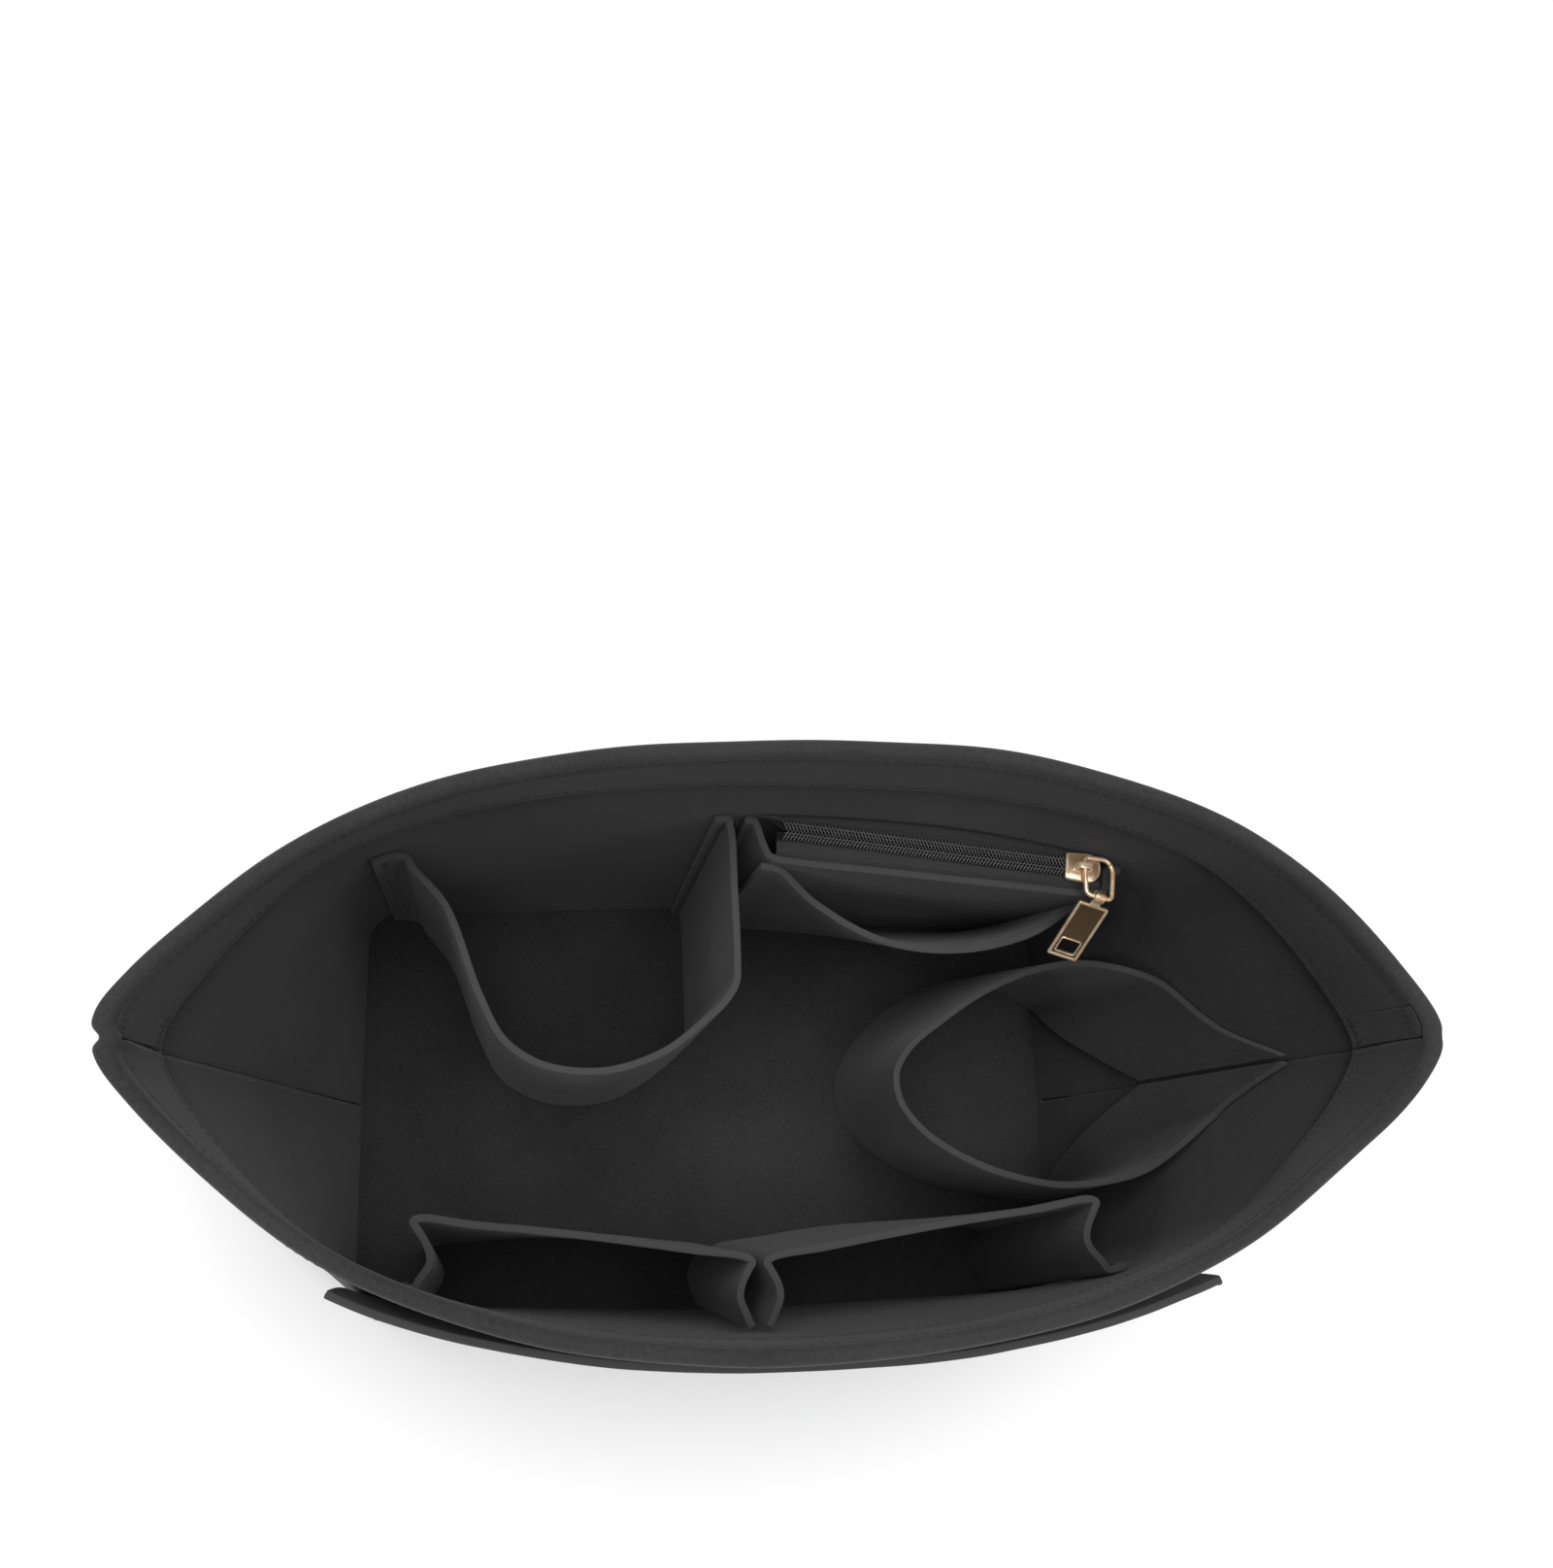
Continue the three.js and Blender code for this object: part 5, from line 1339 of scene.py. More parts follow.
# %% Coil surfaces
COIL_PITCH, COIL_WIRE = 1.27, 0.21
COIL_TURN_STEPS, COIL_SIDES = 16, 6
COIL_SLANT = 1.5
COIL_INNER, COIL_OUTER = -0.25, 3.7
COIL_FOOT, COIL_HEAD = 0.4, 2.1
DROOP_RUN, DROOP = 6.0, 1.2
SEW_OFFSETS, SEW_RADIUS, SEW_LENGTH = (1.15, 2.4), 0.2, 1.05
NYLON_DARK = (0.085, 0.085, 0.087, 1)
NYLON_PALE = (0.130, 0.130, 0.133, 1)
# LOW_STRAND_SHADE is painted shade for the lower strands, which lie close under the upper ones.
LOW_STRAND_SHADE = (0.006, 0.006, 0.006, 1)


def nylon_material():
    """Smooth dark nylon with a fine cloudiness, so that its gloss is slightly uneven. The cut
    attribute is 1 on the strands that lie on the ribbon: painted shade, as hardly any light reaches them."""
    nodes = Nodes("nylon")
    cloud = nodes.noise(nodes.place(), scale=700, detail=3, roughness=0.6)
    clear = nodes.mix(nodes.ramp(cloud, 0.35, 0.65), NYLON_DARK, NYLON_PALE)
    nodes.join(Base_Color=nodes.mix(nodes.cut(), clear, LOW_STRAND_SHADE))
    nodes.join(Roughness=nodes.ramp(cloud, 0.3, 0.7, out_low=0.37, out_high=0.53))
    nodes.join(Normal=nodes.bump(cloud, strength=0.25, distance=0.0001))
    nodes.value(Specular_IOR_Level=0.4)
    return nodes.material


nylon = nylon_material()


def droop(x):
    """The chain's closed end sinks into the pocket's corner: a square of the way past a point."""
    return -DROOP * np.clip((CHAIN_START + DROOP_RUN - x) / DROOP_RUN, 0, 1.3) ** 2


def tube_arrays(path, radius, sides, reference):
    """A round tube along a path. At each point the ring lies across the path's direction, and its
    first arm is square to a reference direction."""
    along = unit(np.gradient(path, axis=0))
    first = unit(np.cross(along, reference))
    second = np.cross(along, first)
    angle = circle(sides)[:, None]
    arms = first[:, None] * np.cos(angle) + second[:, None] * np.sin(angle)
    return stacked(path[:, None] + radius * arms)


def coil(side, node):
    """The spring on one side of the chain, 1 towards the wall and -1 towards the pocket. On its way
    in, the upper strand leans by the slant in pitches, and the lower one goes back by the rest."""
    turns = (CHAIN_END - CHAIN_START) / COIL_PITCH - 1 - COIL_SLANT
    t = np.arange(int(turns * COIL_TURN_STEPS) + 1) / COIL_TURN_STEPS
    angle = 2 * np.pi * t
    turn = np.floor(t)
    inwards = (1 - full_wave(np.cos(angle))) / 2
    advance = turn + np.where(t - turn < 0.5, COIL_SLANT * inwards, 1 + (COIL_SLANT - 1) * inwards)
    x = CHAIN_START + COIL_PITCH * (0.5 + advance + (0.5 if side < 0 else 0.0))
    y_half = (COIL_OUTER - COIL_INNER) / 2 - COIL_WIRE
    z_half = (COIL_HEAD - COIL_FOOT) / 2 - COIL_WIRE
    y = side * ((COIL_OUTER + COIL_INNER) / 2 + y_half * full_wave(np.cos(angle)))
    z = (COIL_HEAD + COIL_FOOT) / 2 + z_half * full_wave(np.sin(angle)) + droop(x)
    path = on_chain(np.stack([x, y, z], -1))
    points, faces, ends = tube_arrays(path, COIL_WIRE, COIL_SIDES, chain_x)
    # The lower half of each turn gets painted shade through the cut attribute.
    low = np.repeat(1 - step_up(np.sin(angle), -0.35, 0.5), COIL_SIDES)
    make_object(node + "_nylon", points, faces, nylon, node, extra=ends, cut=low)


coil(1, "zip_coil_back")
coil(-1, "zip_coil_front")


def sewing_row(offset):
    """A line of stitches over the wires of one spring."""
    x = np.arange(CHAIN_START + COIL_PITCH, CHAIN_END, COIL_PITCH / 2)
    z = COIL_HEAD - COIL_WIRE / 2 + droop(x)
    points = on_chain(np.stack([x, np.full_like(x, offset), z], -1))
    return points, np.tile([0.0, 0.0, 1.0], (len(x), 1))


sewing_lines = [sewing_row(side * offset) for side in (1, -1) for offset in SEW_OFFSETS]
stitch_row("zip_sewing", sewing_lines, (COIL_PITCH, SEW_LENGTH, SEW_RADIUS), nylon)

# %% [markdown]
# ## Zip tapes
# The tapes are woven ribbon. The one at the back lies flat from the spring to the wall, and its
# left end is bunched up into the corner. The one at the front is flat under the slider and then
# turns down behind the pocket's felt.

# %% Tape surfaces
TAPE_END = 7.0
TAPE_LEAD = 8.0
TAPE_COLUMNS, TAPE_BACK_ROWS, TAPE_FRONT_ROWS = 260, 30, 18
TAPE_THICKNESS, TAPE_BULGE, TAPE_EDGE = 0.6, 0.08, 0.45
TAPE_DROP, TAPE_NARROWING, TAPE_FELT_GAP = 3.2, 3.6, 0.1
TAPE_WALL_GAP, TAPE_WALL_DROP = 0.9, 3.2
TAPE_SEAM_SHARE, TAPE_SEAM_DEPTH, TAPE_SEAM_WIDTH = 0.62, 0.3, 0.04
TAPE_RELIEF, TAPE_SEED = 0.3, 7
ARCH_RISE, ARCH_RUN = 1.7, 3.4
RIBBON_DARK = (0.022, 0.022, 0.0225, 1)
RIBBON_PALE = (0.046, 0.046, 0.047, 1)
RIBBON_UNDER = (0.003, 0.003, 0.003, 1)


def woven_material():
    """A twill ribbon: fine bands, crossed along and across the chain. The cut attribute is 1
    under the springs, where hardly any light comes."""
    nodes = Nodes("zip_tape")
    turn = math.atan2(chain_x[1], chain_x[0])
    lined = nodes.mapped(nodes.place(), in_Rotation=(0, 0, -turn))
    bands = []
    for direction, scale in (("X", 4200), ("Y", 3000)):
        bands.append(nodes.add(
            "ShaderNodeTexWave",
            [("Vector", lined)],
            bands_direction=direction,
            in_Scale=scale / (2 * math.pi),
            in_Distortion=0.4,
        ).outputs["Fac"])
    weave = nodes.mix(0.5, bands[0], bands[1], "MULTIPLY")
    ribbon = nodes.mix(weave, RIBBON_DARK, RIBBON_PALE)
    nodes.join(Base_Color=nodes.mix(nodes.cut(), ribbon, RIBBON_UNDER))
    nodes.join(Normal=nodes.bump(weave, strength=0.5, distance=0.0001))
    nodes.value(Roughness=0.8, Specular_IOR_Level=0.25, Sheen_Weight=0.15)
    return nodes.material


tape_cloth = woven_material()


def tape(grid, node):
    """A ribbon from a grid of centre points."""
    points, faces, _ = sheet_arrays(grid, TAPE_THICKNESS, TAPE_BULGE)
    across = np.abs((points @ chain_axes.T - chain_middle)[:, 1])
    under = 1 - step_up(across, COIL_OUTER - 0.3, 0.5)
    make_object(node + "_ribbon", points, faces, tape_cloth, node, cut=under)


def back_tape():
    """Rows from the spring to the wall. Left of the chain the ribbon narrows towards the wall and
    rises in an arch, a bell curve of the run."""
    x = np.linspace(CHAIN_START - TAPE_LEAD, TAPE_END, TAPE_COLUMNS)
    lead = np.clip((CHAIN_START + 1 - x) / TAPE_LEAD, 0, 1)
    sink = droop(np.maximum(x, CHAIN_START - 1)) * (1 - lead)
    inner = on_chain(np.stack([x, TAPE_EDGE + TAPE_NARROWING * lead**0.8, sink], -1))
    level = inner[-1, 2]
    wall = wall_point(1, wall_share(1, inner[:, 0], level, FELT), inner[:, 2], FELT + TAPE_WALL_GAP)
    wall[:, 0] = inner[:, 0]
    across = np.linspace(0, 1, TAPE_BACK_ROWS)[:, None]
    grid = inner + (wall - inner) * across[..., None]
    grid[..., 2] -= TAPE_WALL_DROP * step_up(across, 0.92, 0.08) * (1 - lead)
    grid[..., 2] -= TAPE_SEAM_DEPTH * bell(across - TAPE_SEAM_SHARE, TAPE_SEAM_WIDTH)
    arch = ARCH_RISE * bell(x - CHAIN_START + TAPE_LEAD * 0.45, ARCH_RUN)
    relief = TAPE_RELIEF * np.sin(np.pi * across) * waves(x / 60, 0 * x, TAPE_SEED)
    grid[..., 2] += arch * (0.35 + 0.65 * across) + relief
    return grid


def front_tape():
    """Rows from the spring to the felt: y goes there by a power curve that starts fast, and z
    falls by a fourth power, so the ribbon is flat first and then turns down."""
    x = np.linspace(CHAIN_START - 1, TAPE_END, TAPE_COLUMNS)
    inner = on_chain(np.stack([x, np.full_like(x, -TAPE_EDGE), droop(x)], -1))
    s = np.linspace(0, 1, TAPE_FRONT_ROWS)[:, None]
    level = inner[:, 2] - TAPE_DROP * s**4
    felt_y = np.stack([zip_panel_point(inner[:, 0], row.mean())[:, 1] for row in level])
    goal = felt_y + FELT / 2 + TAPE_THICKNESS / 2 + TAPE_FELT_GAP
    y = inner[:, 1] + (goal - inner[:, 1]) * (1 - (1 - s) ** 1.6)
    return np.stack([np.broadcast_to(inner[:, 0], y.shape), y, level], -1)


tape(back_tape(), "zip_tape_back")
tape(front_tape(), "zip_tape_front")

# %% [markdown]
# ## Gold metal
# The slider, ring and tab are die-cast zinc with a pale gold plating. Plating is nearly a mirror,
# but handling leaves fine scratches, so the roughness follows a stretched noise, and a slow noise
# shifts the tint a little. Its thin lacquer scatters light, so the metallic value is below one.

# %% Gold material
# GOLD_PAINTED_SHADE is painted shade for the sunk faces of the slider and the tab.
GOLD_PAINTED_SHADE = (0.52, 0.34, 0.19, 1)
GOLD_WARM = (0.92, 0.60, 0.34, 1)
GOLD_PALE = (1.0, 0.84, 0.62, 1)


def gold_material():
    """Pale gold plating: tint and roughness from noise, and a bump of hairline scratches. The cut
    attribute is 1 on raised edges, painted as a highlight, and 0 on sunk faces, painted as shade."""
    nodes = Nodes("gold_metal")
    place = nodes.place()
    slow = nodes.noise(place, scale=320, detail=2, roughness=0.5)
    stretched = nodes.mapped(place, in_Scale=(0.25, 1.0, 1.6))
    scratches = nodes.noise(stretched, scale=4200, detail=3, roughness=0.7)
    plating = nodes.mix(nodes.ramp(slow, 0.35, 0.65), GOLD_WARM, GOLD_PALE)
    # Painted highlight: raised edges take the pale plating and a lower metallic, which makes them brighter.
    # Sunk faces take GOLD_PAINTED_SHADE as painted shade.
    painted_highlight = nodes.cut()
    nodes.join(Base_Color=nodes.mix(painted_highlight, GOLD_PAINTED_SHADE, plating))
    nodes.join(Roughness=nodes.ramp(scratches, 0.3, 0.7, out_low=0.14, out_high=0.30))
    nodes.join(Normal=nodes.bump(scratches, strength=0.12, distance=0.00005))
    nodes.join(Metallic=nodes.ramp(painted_highlight, 0.0, 1.0, out_low=0.85, out_high=0.5))
    nodes.value(Specular_IOR_Level=0.6)
    return nodes.material


gold = gold_material()
print("gold nodes:", len(gold.node_tree.nodes))

# %% [markdown]
# ## Slider
# A slider is two plates on a small post, with flanges that guide the springs. The upper plate with
# its flanges is one outline across the slider, carried along it, whose width and foot change on the
# way. The lower plate is a slab with rounded edges, and the arch that holds the ring is a bar bent
# along an oval.

# %% Slider surface
SLIDER_HALF, SLIDER_NOSE, SLIDER_TAIL = 6.6, 5.4, 4.9
SLIDER_CORNER, SLIDER_NOSE_RADIUS = 1.0, 4.8
CHANNEL_HALF, CHANNEL_ROOF, SLIDER_TOP = 3.75, 2.5, 3.5
SLIDER_CROWN, SLIDER_SHOULDER = 0.22, 0.75
SHOULDER_ANGLES = np.radians([0, 22, 45, 68, 90])
POST_SIZE = (3.0, 0.42)
ARCH_HALF, ARCH_HEIGHT, ARCH_WALL, ARCH_WIDTH = 3.4, 4.3, 1.05, 2.4


def slider_width(x):
    """Half the slider's width at x: a straight taper that ends in a small corner at the tail and
    in most of a half circle at the nose."""
    taper = SLIDER_TAIL + (SLIDER_NOSE - SLIDER_TAIL) * np.clip(x / SLIDER_HALF + 1, 0, 1)
    radius = np.where(x > 0, SLIDER_NOSE_RADIUS, SLIDER_CORNER)
    corner = np.clip((np.abs(x) - SLIDER_HALF + radius) / radius, 0, 1)
    return taper - radius * (1 - np.sqrt(1 - corner**2))


def slider_shell():
    """The upper plate and its flanges: half an outline across, mirrored, at stations along x that
    crowd towards both ends. The flanges' feet rise near the ends."""
    x = SLIDER_HALF * np.sin(np.linspace(-np.pi / 2, np.pi / 2, 45))
    width = slider_width(x)
    end = np.clip((np.abs(x) - SLIDER_HALF + 2.4) / 2.4, 0, 1)
    edge = np.clip((np.abs(x) - SLIDER_HALF + 0.5) / 0.5, 0, 1) ** 2
    foot = SLIDER_SLOT / 2 + (CHANNEL_ROOF - SLIDER_SLOT / 2 - 0.35) * end**2
    inside = np.minimum(CHANNEL_HALF, width - 0.32)
    top = SLIDER_TOP - 0.3 * edge
    roof = CHANNEL_ROOF + 0.25 * edge
    zero = np.zeros_like(x)
    crown = SLIDER_CROWN * (1 - end)
    r = SLIDER_SHOULDER
    half = [(zero, roof), (inside * 0.6, roof), (inside - 0.3, roof), (inside, roof - 0.25)]
    half += [(inside, foot + 0.06), (inside + 0.06, foot), (width - 0.1, foot), (width, foot + 0.1)]
    half += [(width - r + r * np.cos(a), top - r + r * np.sin(a)) for a in SHOULDER_ANGLES]
    half += [(width * 0.5, top + crown * 0.75), (zero, top + crown)]
    outline = half + [(-y, z) for y, z in half[1:-1]][::-1]
    return stacked(np.stack([np.stack([x, y, z], -1) for y, z in outline], 1))


def at_level(flat, z):
    """Points of a plane, put at a level."""
    return np.concatenate([flat, np.full((len(flat), 1), z)], 1)


def slab(outline, low, high, bevel):
    """A flat slab with rounded edges: outline gives its points at an inset."""
    levels = [(bevel * 2.2, low), (bevel, low), (bevel * 0.3, low + bevel * 0.3), (0, low + bevel)]
    levels += [(0, high - bevel), (bevel * 0.3, high - bevel * 0.3), (bevel, high), (bevel * 2.2, high)]
    return stacked([at_level(outline(inset), z) for inset, z in levels])


def slider_outline(inset):
    """The slider's plan from tail to nose and back, moved in by inset."""
    x = (SLIDER_HALF - inset) * np.sin(np.linspace(-np.pi / 2, np.pi / 2, 33))
    width = slider_width(x * SLIDER_HALF / (SLIDER_HALF - inset)) - inset
    there = np.stack([x, width], -1)
    return np.concatenate([there, (there * [1, -1])[::-1]])


def box_outline(half_x, half_y, radius, middle=(0, 0)):
    """A rounded rectangle: quarter circles round the four corners, counter-clockwise."""

    def outline(inset):
        arc = np.radians(np.linspace(0, 90, 7))
        r = max(radius - inset, 0.02)
        corners = []
        for k, (sx, sy) in enumerate(((1, 1), (-1, 1), (-1, -1), (1, -1))):
            turn = arc + k * np.pi / 2
            cx, cy = sx * (half_x - inset - r), sy * (half_y - inset - r)
            corners.append(np.stack([cx + r * np.cos(turn), cy + r * np.sin(turn)], -1))
        return np.concatenate(corners) + middle

    return outline


def slider_arch():
    """A bar bent along an oval: its section is a rounded rectangle that widens at the feet."""
    t = np.linspace(0, np.pi, 33)
    a, b = ARCH_HALF - ARCH_WALL / 2, ARCH_HEIGHT - ARCH_WALL / 2
    x, z = -a * full_wave(np.cos(t), 0.6), b * np.sin(t) ** 0.6
    path = np.stack([x, 0 * x, SLIDER_TOP - 0.5 + z], -1)
    along = unit(np.gradient(path, axis=0))
    side = np.array([0.0, 1.0, 0.0])
    up = np.cross(side, along)
    section = box_outline(ARCH_WIDTH / 2, ARCH_WALL / 2, 0.3)(0)
    widen = 1 + 0.3 * bell(z, 0.9)
    sideways = side * section[None, :, :1] * widen[:, None, None]
    return stacked(path[:, None] + sideways + up[:, None] * section[None, :, 1:])


post_middle = (SLIDER_HALF - 0.6 - POST_SIZE[0] / 2, 0)
post_outline = box_outline(POST_SIZE[0] / 2, POST_SIZE[1] / 2, 0.2, post_middle)
slider_parts = [
    slider_shell(),
    slab(slider_outline, -SLIDER_SLOT / 2 - SLIDER_PLATE, -SLIDER_SLOT / 2, 0.3),
    slab(post_outline, -SLIDER_SLOT / 2 - 0.3, CHANNEL_ROOF + 0.3, 0.05),
    slider_arch(),
]


def metal_piece(name, parts, place, body, node, painted_highlight):
    """Joins closed surfaces, puts them in place and gives them the gold. painted_highlight says for
    each point how much painted highlight it gets, against the painted shade of the sunk faces."""
    points, faces, ends = joined(parts)
    shine = painted_highlight(points)
    make_object(name, place(points), faces, gold, node, body, extra=ends, cut=shine)


def slider_highlight(points):
    """The painted highlight: 1 on the arch, the flanges and both ends of the plates, and less on the plate's
    face.
    """
    x, y, z = points.T
    side = step_up(np.abs(y) - slider_width(np.clip(x, -SLIDER_HALF, SLIDER_HALF)), -1.0, 0.5)
    end = step_up(np.abs(x), SLIDER_HALF - 1.3, 0.6)
    return np.maximum.reduce([side, end, step_up(z, SLIDER_TOP + 0.4, 0.3), np.full(len(x), 0.35)])


metal_piece("zip_slider_metal", slider_parts, on_chain, "slider", "zip_slider", slider_highlight)

# %% [markdown]
# ## Ring and tab
# The ring is a round wire bent to a four-sided loop that droops a little. Its corners are smooth
# curves between the straight sides. The tab is a thin plate with a raised border and a slot: all
# its outlines are rounded rectangles with the same number of points, so its whole skin is one
# closed stack of rings, out over the border, down to the sunk face, up to the slot's rim, through
# the slot and back along the other side.

# %% Ring surface
WIRE = 1.7
RING_LENGTH, RING_BACK, RING_FRONT, RING_SKEW = 10.9, 3.4, 10.2, 1.2
RING_CORNER, RING_CORNER_STEPS, WIRE_SIDES = 2.1, 9, 18
RING_DROOP = math.radians(3)
RING_LEVEL = SLIDER_TOP + 0.9 + WIRE / 2
RING_TOP_SHARE, RING_SIDE_SHARE = 0.78, 0.1
ring_corners = np.array([
    (-RING_SKEW * RING_BACK / RING_FRONT, RING_BACK),
    (RING_TOP_SHARE * RING_LENGTH, RING_BACK),
    (RING_LENGTH, RING_SIDE_SHARE * RING_BACK),
    (RING_LENGTH, -RING_FRONT - RING_SKEW),
    (RING_SKEW, -RING_FRONT),
])


def on_ring(points):
    """Points of the ring's plane in the chain's frame: turned about the hinge side by the droop."""
    points = np.asarray(points, float)
    hinge = unit(ring_corners[0] - ring_corners[4])
    run = points @ hinge
    away = points @ np.array([hinge[1], -hinge[0]])
    across = np.stack([hinge[1] * np.cos(RING_DROOP) * away, -hinge[0] * np.cos(RING_DROOP) * away], -1)
    flat = run[..., None] * hinge + across
    return np.concatenate([flat, (RING_LEVEL - np.sin(RING_DROOP) * away)[..., None]], -1)


def rounded_loop(corners, radius, steps):
    """A closed line: each corner is a parabola between points a radius away on both sides."""
    before = corners + unit(np.roll(corners, 1, 0) - corners) * radius
    after = corners + unit(np.roll(corners, -1, 0) - corners) * radius
    t = np.linspace(0, 1, steps)[None, :, None]
    curve = (1 - t) ** 2 * before[:, None] + 2 * t * (1 - t) * corners[:, None] + t**2 * after[:, None]
    return curve.reshape(-1, corners.shape[1])


def ring_surface():
    """A round wire round the loop, as a closed stack of rings."""
    line = on_ring(rounded_loop(ring_corners, RING_CORNER, RING_CORNER_STEPS))
    along = unit(np.roll(line, -1, 0) - np.roll(line, 1, 0))
    plane = unit(np.cross(line[10] - line[0], line[25] - line[0]))
    across = unit(np.cross(along, plane))
    angle = circle(WIRE_SIDES)[:, None]
    arms = across[:, None] * np.cos(angle) + plane * np.sin(angle)
    return stacked(line[:, None] + arms * WIRE / 2, closed=True)


def ring_highlight(points):
    """1 all over: the whole ring gets the painted highlight."""
    return np.ones(len(points))


metal_piece("pull_ring_metal", [ring_surface()], on_chain, "ring", "pull_ring", ring_highlight)

# %% [markdown]
# The tab hangs from the ring's free side. Its own frame has the eye's axis as x and runs down the
# plate along y.

# %% Tab surface
TAB_LENGTH, TAB_WIDTH, TAB_THICKNESS = 31.0, 12.0, 1.3
TAB_CORNER, TAB_BORDER, TAB_RECESS = 0.9, 1.1, 0.3
TAB_NECK_WIDTH, TAB_NECK_LENGTH = 3.8, 3.6
EYE_BORE, EYE_OUTER = WIRE / 2 + 0.4, WIRE / 2 + 0.4 + 0.85
TAB_SLOT = (7.2, 6.2)
TAB_SLOT_MARGIN = 2.6
EYE_STEPS, NECK_STEPS = 32, 8
TAB_DROOP, TAB_TILT = math.radians(52), math.radians(4)


def tab_axes():
    """The tab's directions in the chain's frame: across it, down the plate and out of it. The eye
    is loose on the wire, so the plate hangs askew by the tilt."""
    left, right = on_ring(ring_corners[4]), on_ring(ring_corners[3])
    eye = unit(right - left)
    level = unit(np.cross(eye, [0.0, 0.0, 1.0]))
    down = level * np.cos(TAB_DROOP) + np.array([0, 0, -np.sin(TAB_DROOP)])
    down = unit(down - eye * (down @ eye))
    cos, sin = np.cos(TAB_TILT), np.sin(TAB_TILT)
    across, along = eye * cos + down * sin, down * cos - eye * sin
    return (left + right) / 2, np.stack([across, along, np.cross(eye, down)])


def tab_plate():
    """Rings from the outer side over the border, the sunk face and the slot's rim into the slot,
    and the same in mirror image on the back."""
    half, top, end = TAB_THICKNESS / 2, EYE_OUTER + TAB_NECK_LENGTH / 2, TAB_LENGTH
    plate = box_outline(TAB_WIDTH / 2, (end - top) / 2, TAB_CORNER, (0, (end + top) / 2))
    slot_middle = TAB_LENGTH - TAB_SLOT_MARGIN - TAB_SLOT[1] / 2
    slot = box_outline(TAB_SLOT[0] / 2, TAB_SLOT[1] / 2, 0.5, (0, slot_middle))
    sunk = half - TAB_RECESS
    steps = [(plate, 0, half - 0.22), (plate, 0.07, half - 0.07), (plate, 0.22, half)]
    steps += [(plate, TAB_BORDER - 0.2, half), (plate, TAB_BORDER - 0.04, half - 0.06)]
    steps += [(plate, TAB_BORDER + 0.08, sunk + 0.03), (plate, TAB_BORDER + 0.2, sunk)]
    steps += [(slot, -0.75, sunk), (slot, -0.62, sunk + 0.04), (slot, -0.52, half - 0.05), (slot, -0.4, half)]
    steps += [(slot, -0.2, half), (slot, -0.05, half - 0.06), (slot, 0, half - 0.22)]
    steps += [(outline, inset, -z) for outline, inset, z in reversed(steps)]
    return stacked([at_level(outline(inset), z) for outline, inset, z in steps], closed=True)


def tab_eye():
    """The eye: a rounded rectangle of its wall and width, turned once round the bore."""
    section = box_outline((EYE_OUTER - EYE_BORE) / 2, TAB_NECK_WIDTH / 2, 0.25)(0)
    radius = (EYE_OUTER + EYE_BORE) / 2 + section[:, 0]
    angle = circle(EYE_STEPS)[:, None]
    across = np.broadcast_to(section[:, 1], (EYE_STEPS, len(section)))
    return stacked(np.stack([across, radius * np.sin(angle), radius * np.cos(angle)], -1), closed=True)


def tab_neck():
    """A bar from the eye's wall to the plate, a little wider at the plate."""
    section = box_outline(TAB_NECK_WIDTH / 2, TAB_THICKNESS / 2, 0.3)(0)
    start, end = (EYE_BORE + EYE_OUTER) / 2, EYE_OUTER + TAB_NECK_LENGTH / 2 + 0.6
    y = np.linspace(start, end, NECK_STEPS)[:, None]
    widen = 1 + 0.25 * np.linspace(0, 1, NECK_STEPS)[:, None] ** 3
    return stacked(np.stack(np.broadcast_arrays(section[:, 0] * widen, y, section[:, 1]), -1))


def tab_highlight(points):
    """Painted highlight 1 on the raised border, the slot's rim and the eye; 0, painted shade, on the sunk
    face.
    """
    return step_up(np.abs(points[:, 2]), TAB_THICKNESS / 2 - TAB_RECESS + 0.04, 0.12)


tab_middle, tab_directions = tab_axes()
metal_piece(
    "pull_tab_metal",
    [tab_plate(), tab_eye(), tab_neck()],
    lambda points: on_chain(tab_middle + points @ tab_directions),
    "tab",
    "pull_tab",
    tab_highlight,
)

# %% [markdown]
# ## Thread bars and pocket seams
# Pocket corners carry most load, so each has a bar tack: a short dense zigzag. Each bar's solid in
# the CAD model gives its middle and its three directions, longest first. The pockets' ends are sewn
# to the wall with plain rows of stitches, on their turned-out tabs.

# %% Thread bars
TACKS = [name for name in sorted(frame["nodes"]) if name.endswith("_tack")]
TACK_THREAD, TACK_PITCH, TACK_LEAN, TACK_OVERHANG = 0.3, 0.52, 0.16, 1.15


def bar_tack(name):
    """Beads laid side by side along the bar, each as long as the bar is wide."""
    points = node_points(name)
    middle = (points.min(0) + points.max(0)) / 2
    directions = np.linalg.svd(points - points.mean(0), full_matrices=False)[2]
    spans = np.ptp((points - middle) @ directions.T, axis=0)
    centre = np.array([MIDDLE[0], MIDDLE[1], middle[2]])
    facing = 1 if "outer" not in name else -1
    normal = directions[2] * np.sign(directions[2] @ (centre - middle)) * facing
    count = int(spans[0] / TACK_PITCH)
    run = (np.arange(count) - (count - 1) / 2) * TACK_PITCH
    centres = middle + run[:, None] * directions[0] - normal * TACK_THREAD * 0.6
    lean = np.where(np.arange(count) % 2, TACK_LEAN, -TACK_LEAN)[:, None]
    along = unit(directions[1] + lean * directions[0])
    normals = np.tile(normal, (count, 1))
    points, faces, ends = bead_arrays(centres, along, normals, spans[1] * TACK_OVERHANG, TACK_THREAD)
    make_object(name + "_thread", points, faces, thread, name, extra=list(ends))


for name in TACKS:
    bar_tack(name)

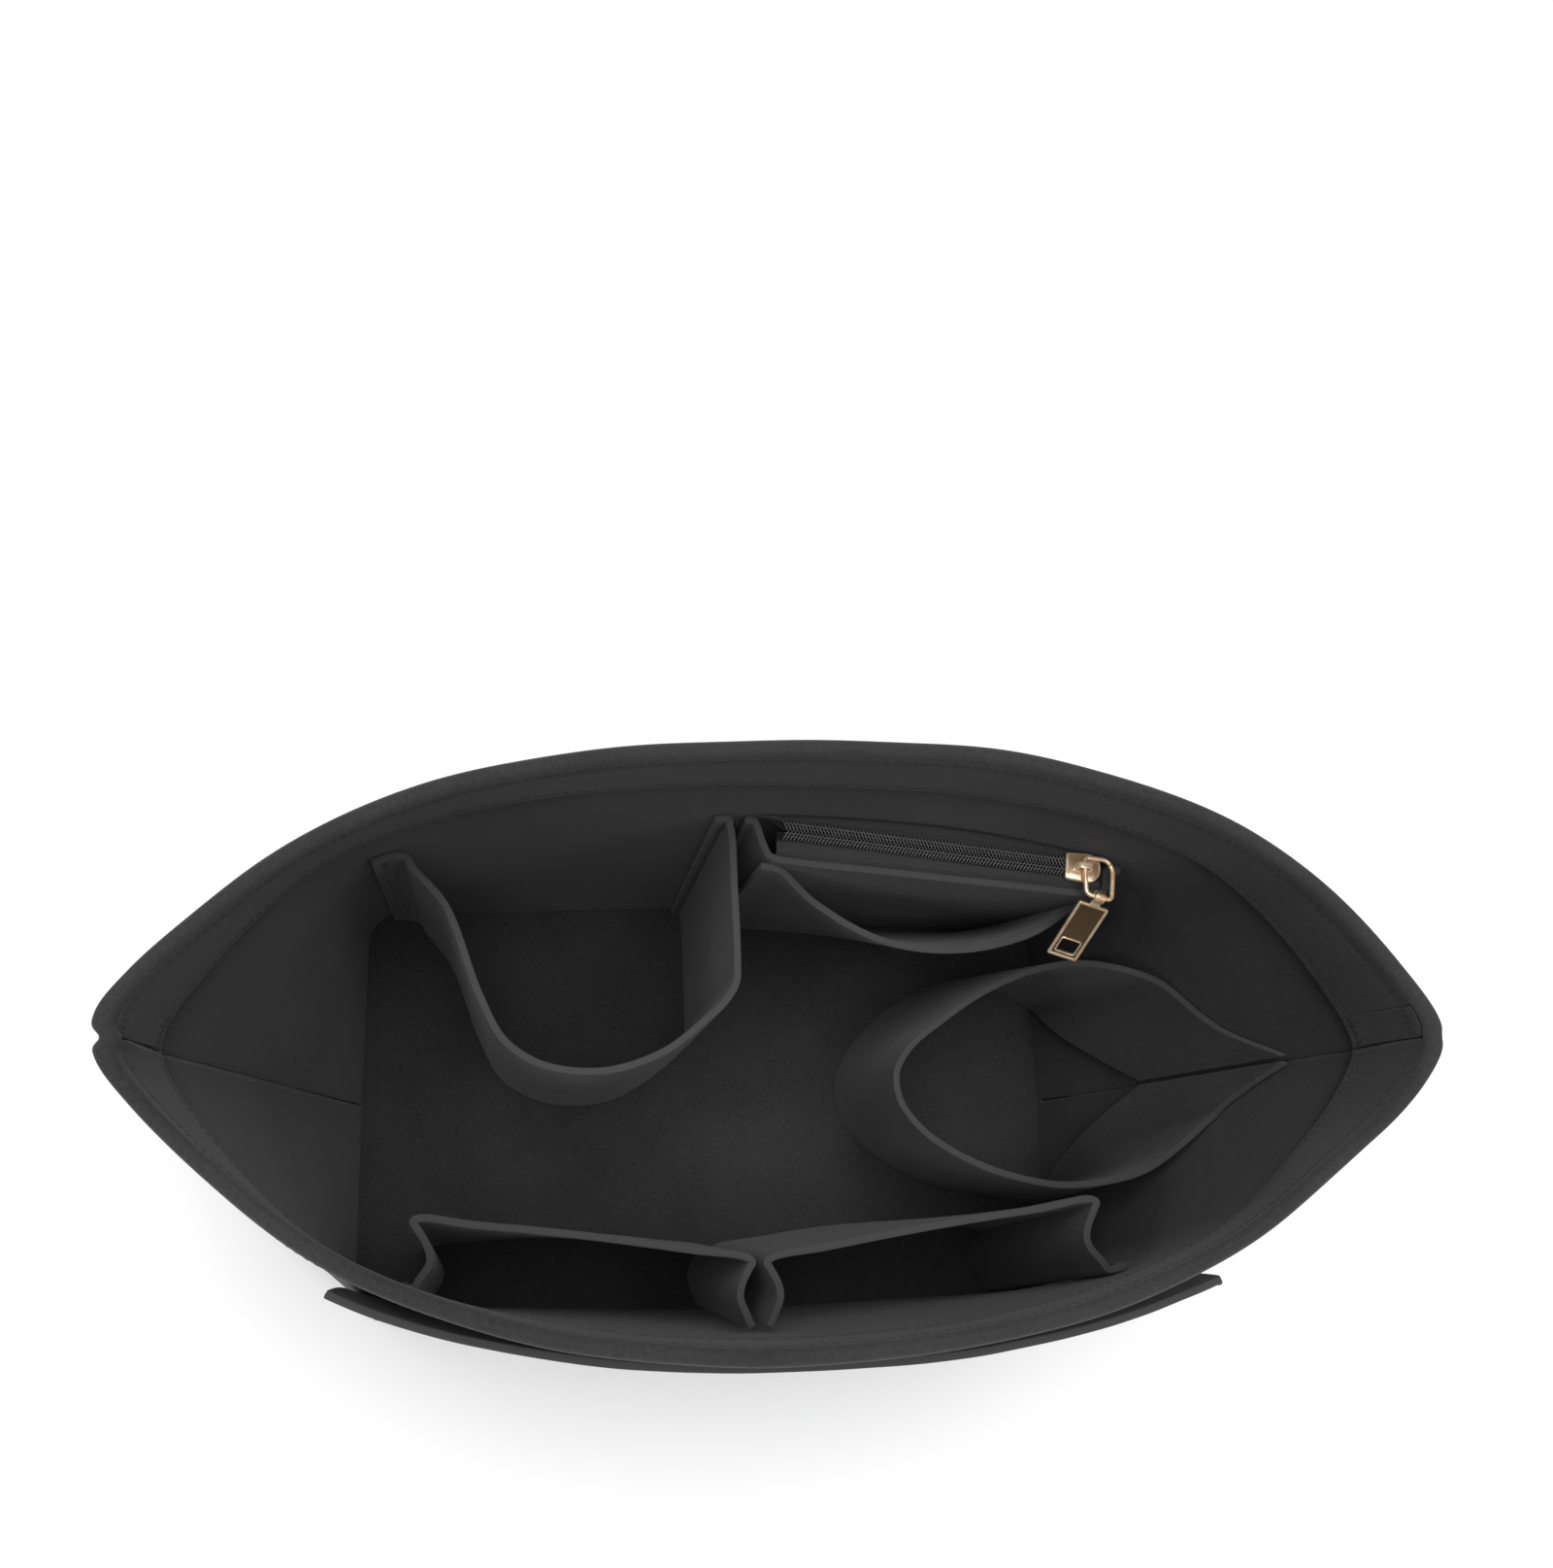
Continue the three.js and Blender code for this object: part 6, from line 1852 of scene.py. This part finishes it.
# %% [markdown]
# The rows of stitches start a little above the base and stop below the pocket's top. Each tip
# patch is held by two short bars, the upper one with more and longer stitches.

# %% Pocket seams
SEAM_LOW, SEAM_STOP, SEAM_STANDOFF = 10, 12, FELT / 2 + 0.05
OUTER_FOOT_SEAM = FLOOR_LEVEL + 4
TIP_THREAD = THREAD_RADIUS * 1.3
TIP_BARS = ((TIP_HIGH - 2.6, 5, 4.2), (TIP_LOW + 1.6, 4, 2.2))


def tab_seam(side, x, pocket_height):
    """A line of stitches up a tab that lies on a wall, and its normals."""
    levels = np.linspace(SEAM_LOW, pocket_height - SEAM_STOP, 60)
    points = np.stack([off_wall(side, x, z, SEAM_STANDOFF) for z in levels])
    further = np.stack([off_wall(side, x, z, SEAM_STANDOFF + 1) for z in levels])
    return points, unit(further - points)


stitch_row("pocket_end_stitches", [
    tab_seam(1, WALLET_LEFT - 0.65 * WALLET_LEFT_TAB, WALLET_HEIGHT),
    tab_seam(1, WALLET_LEFT + WALLET_WIDTH - 0.7 * WALLET_RIGHT_TAB, WALLET_HEIGHT),
    tab_seam(-1, -BELLOWS_SPAN - 0.6 * BELLOWS_TAB, BELLOWS_HEIGHT),
    tab_seam(-1, bellows_outer(1)["wall"] + 0.6 * BELLOWS_TAB, BELLOWS_HEIGHT),
])


def tip_tack(left, level, count, length):
    """A short bar of stitches across a patch: each lies along the level direction."""
    run = np.linspace(1.8, TIP_WIDTH - 0.8, count)
    depth = TIP_FACE + THREAD_LIFT
    centres = on_tip(left, run, level, depth)
    above = unit(on_tip(left, run, level + 1, depth) - centres)
    inwards = unit(on_tip(left, run, level, depth + 1) - centres)
    return bead_arrays(centres, above, inwards, length, TIP_THREAD)


def outer_line(shares, levels):
    """A line on the outer pocket's outside, and its normals."""
    shares, levels = np.broadcast_arrays(np.asarray(shares, float), np.asarray(levels, float))
    lay = OUTER_LAY - wall_swell(-1, shares, levels) - SEAM_STANDOFF
    points = wall_point(-1, shares, levels, lay)
    further = wall_point(-1, shares, levels, lay - 1)
    points[..., 1] -= outer_gape(shares, levels)
    further[..., 1] -= outer_gape(shares, levels)
    return points, unit(further - points)


tip_bars = [tip_tack(left, *bar) for left in (True, False) for bar in TIP_BARS]
tip_points, tip_faces, tip_ends = joined(tip_bars)
make_object("tip_patch_stitches", tip_points, tip_faces, thread, extra=tip_ends)

side_levels = np.linspace(OUTER_FOOT_SEAM, OUTER_HEIGHT - SEAM_STOP, 200)
foot_shares = np.linspace(OUTER_START + 0.008, OUTER_END - 0.008, 400)
stitch_row("outer_pocket_stitches", [
    outer_line(OUTER_START + 0.006, side_levels),
    outer_line(OUTER_END - 0.006, side_levels),
    outer_line(foot_shares, OUTER_FOOT_SEAM),
])
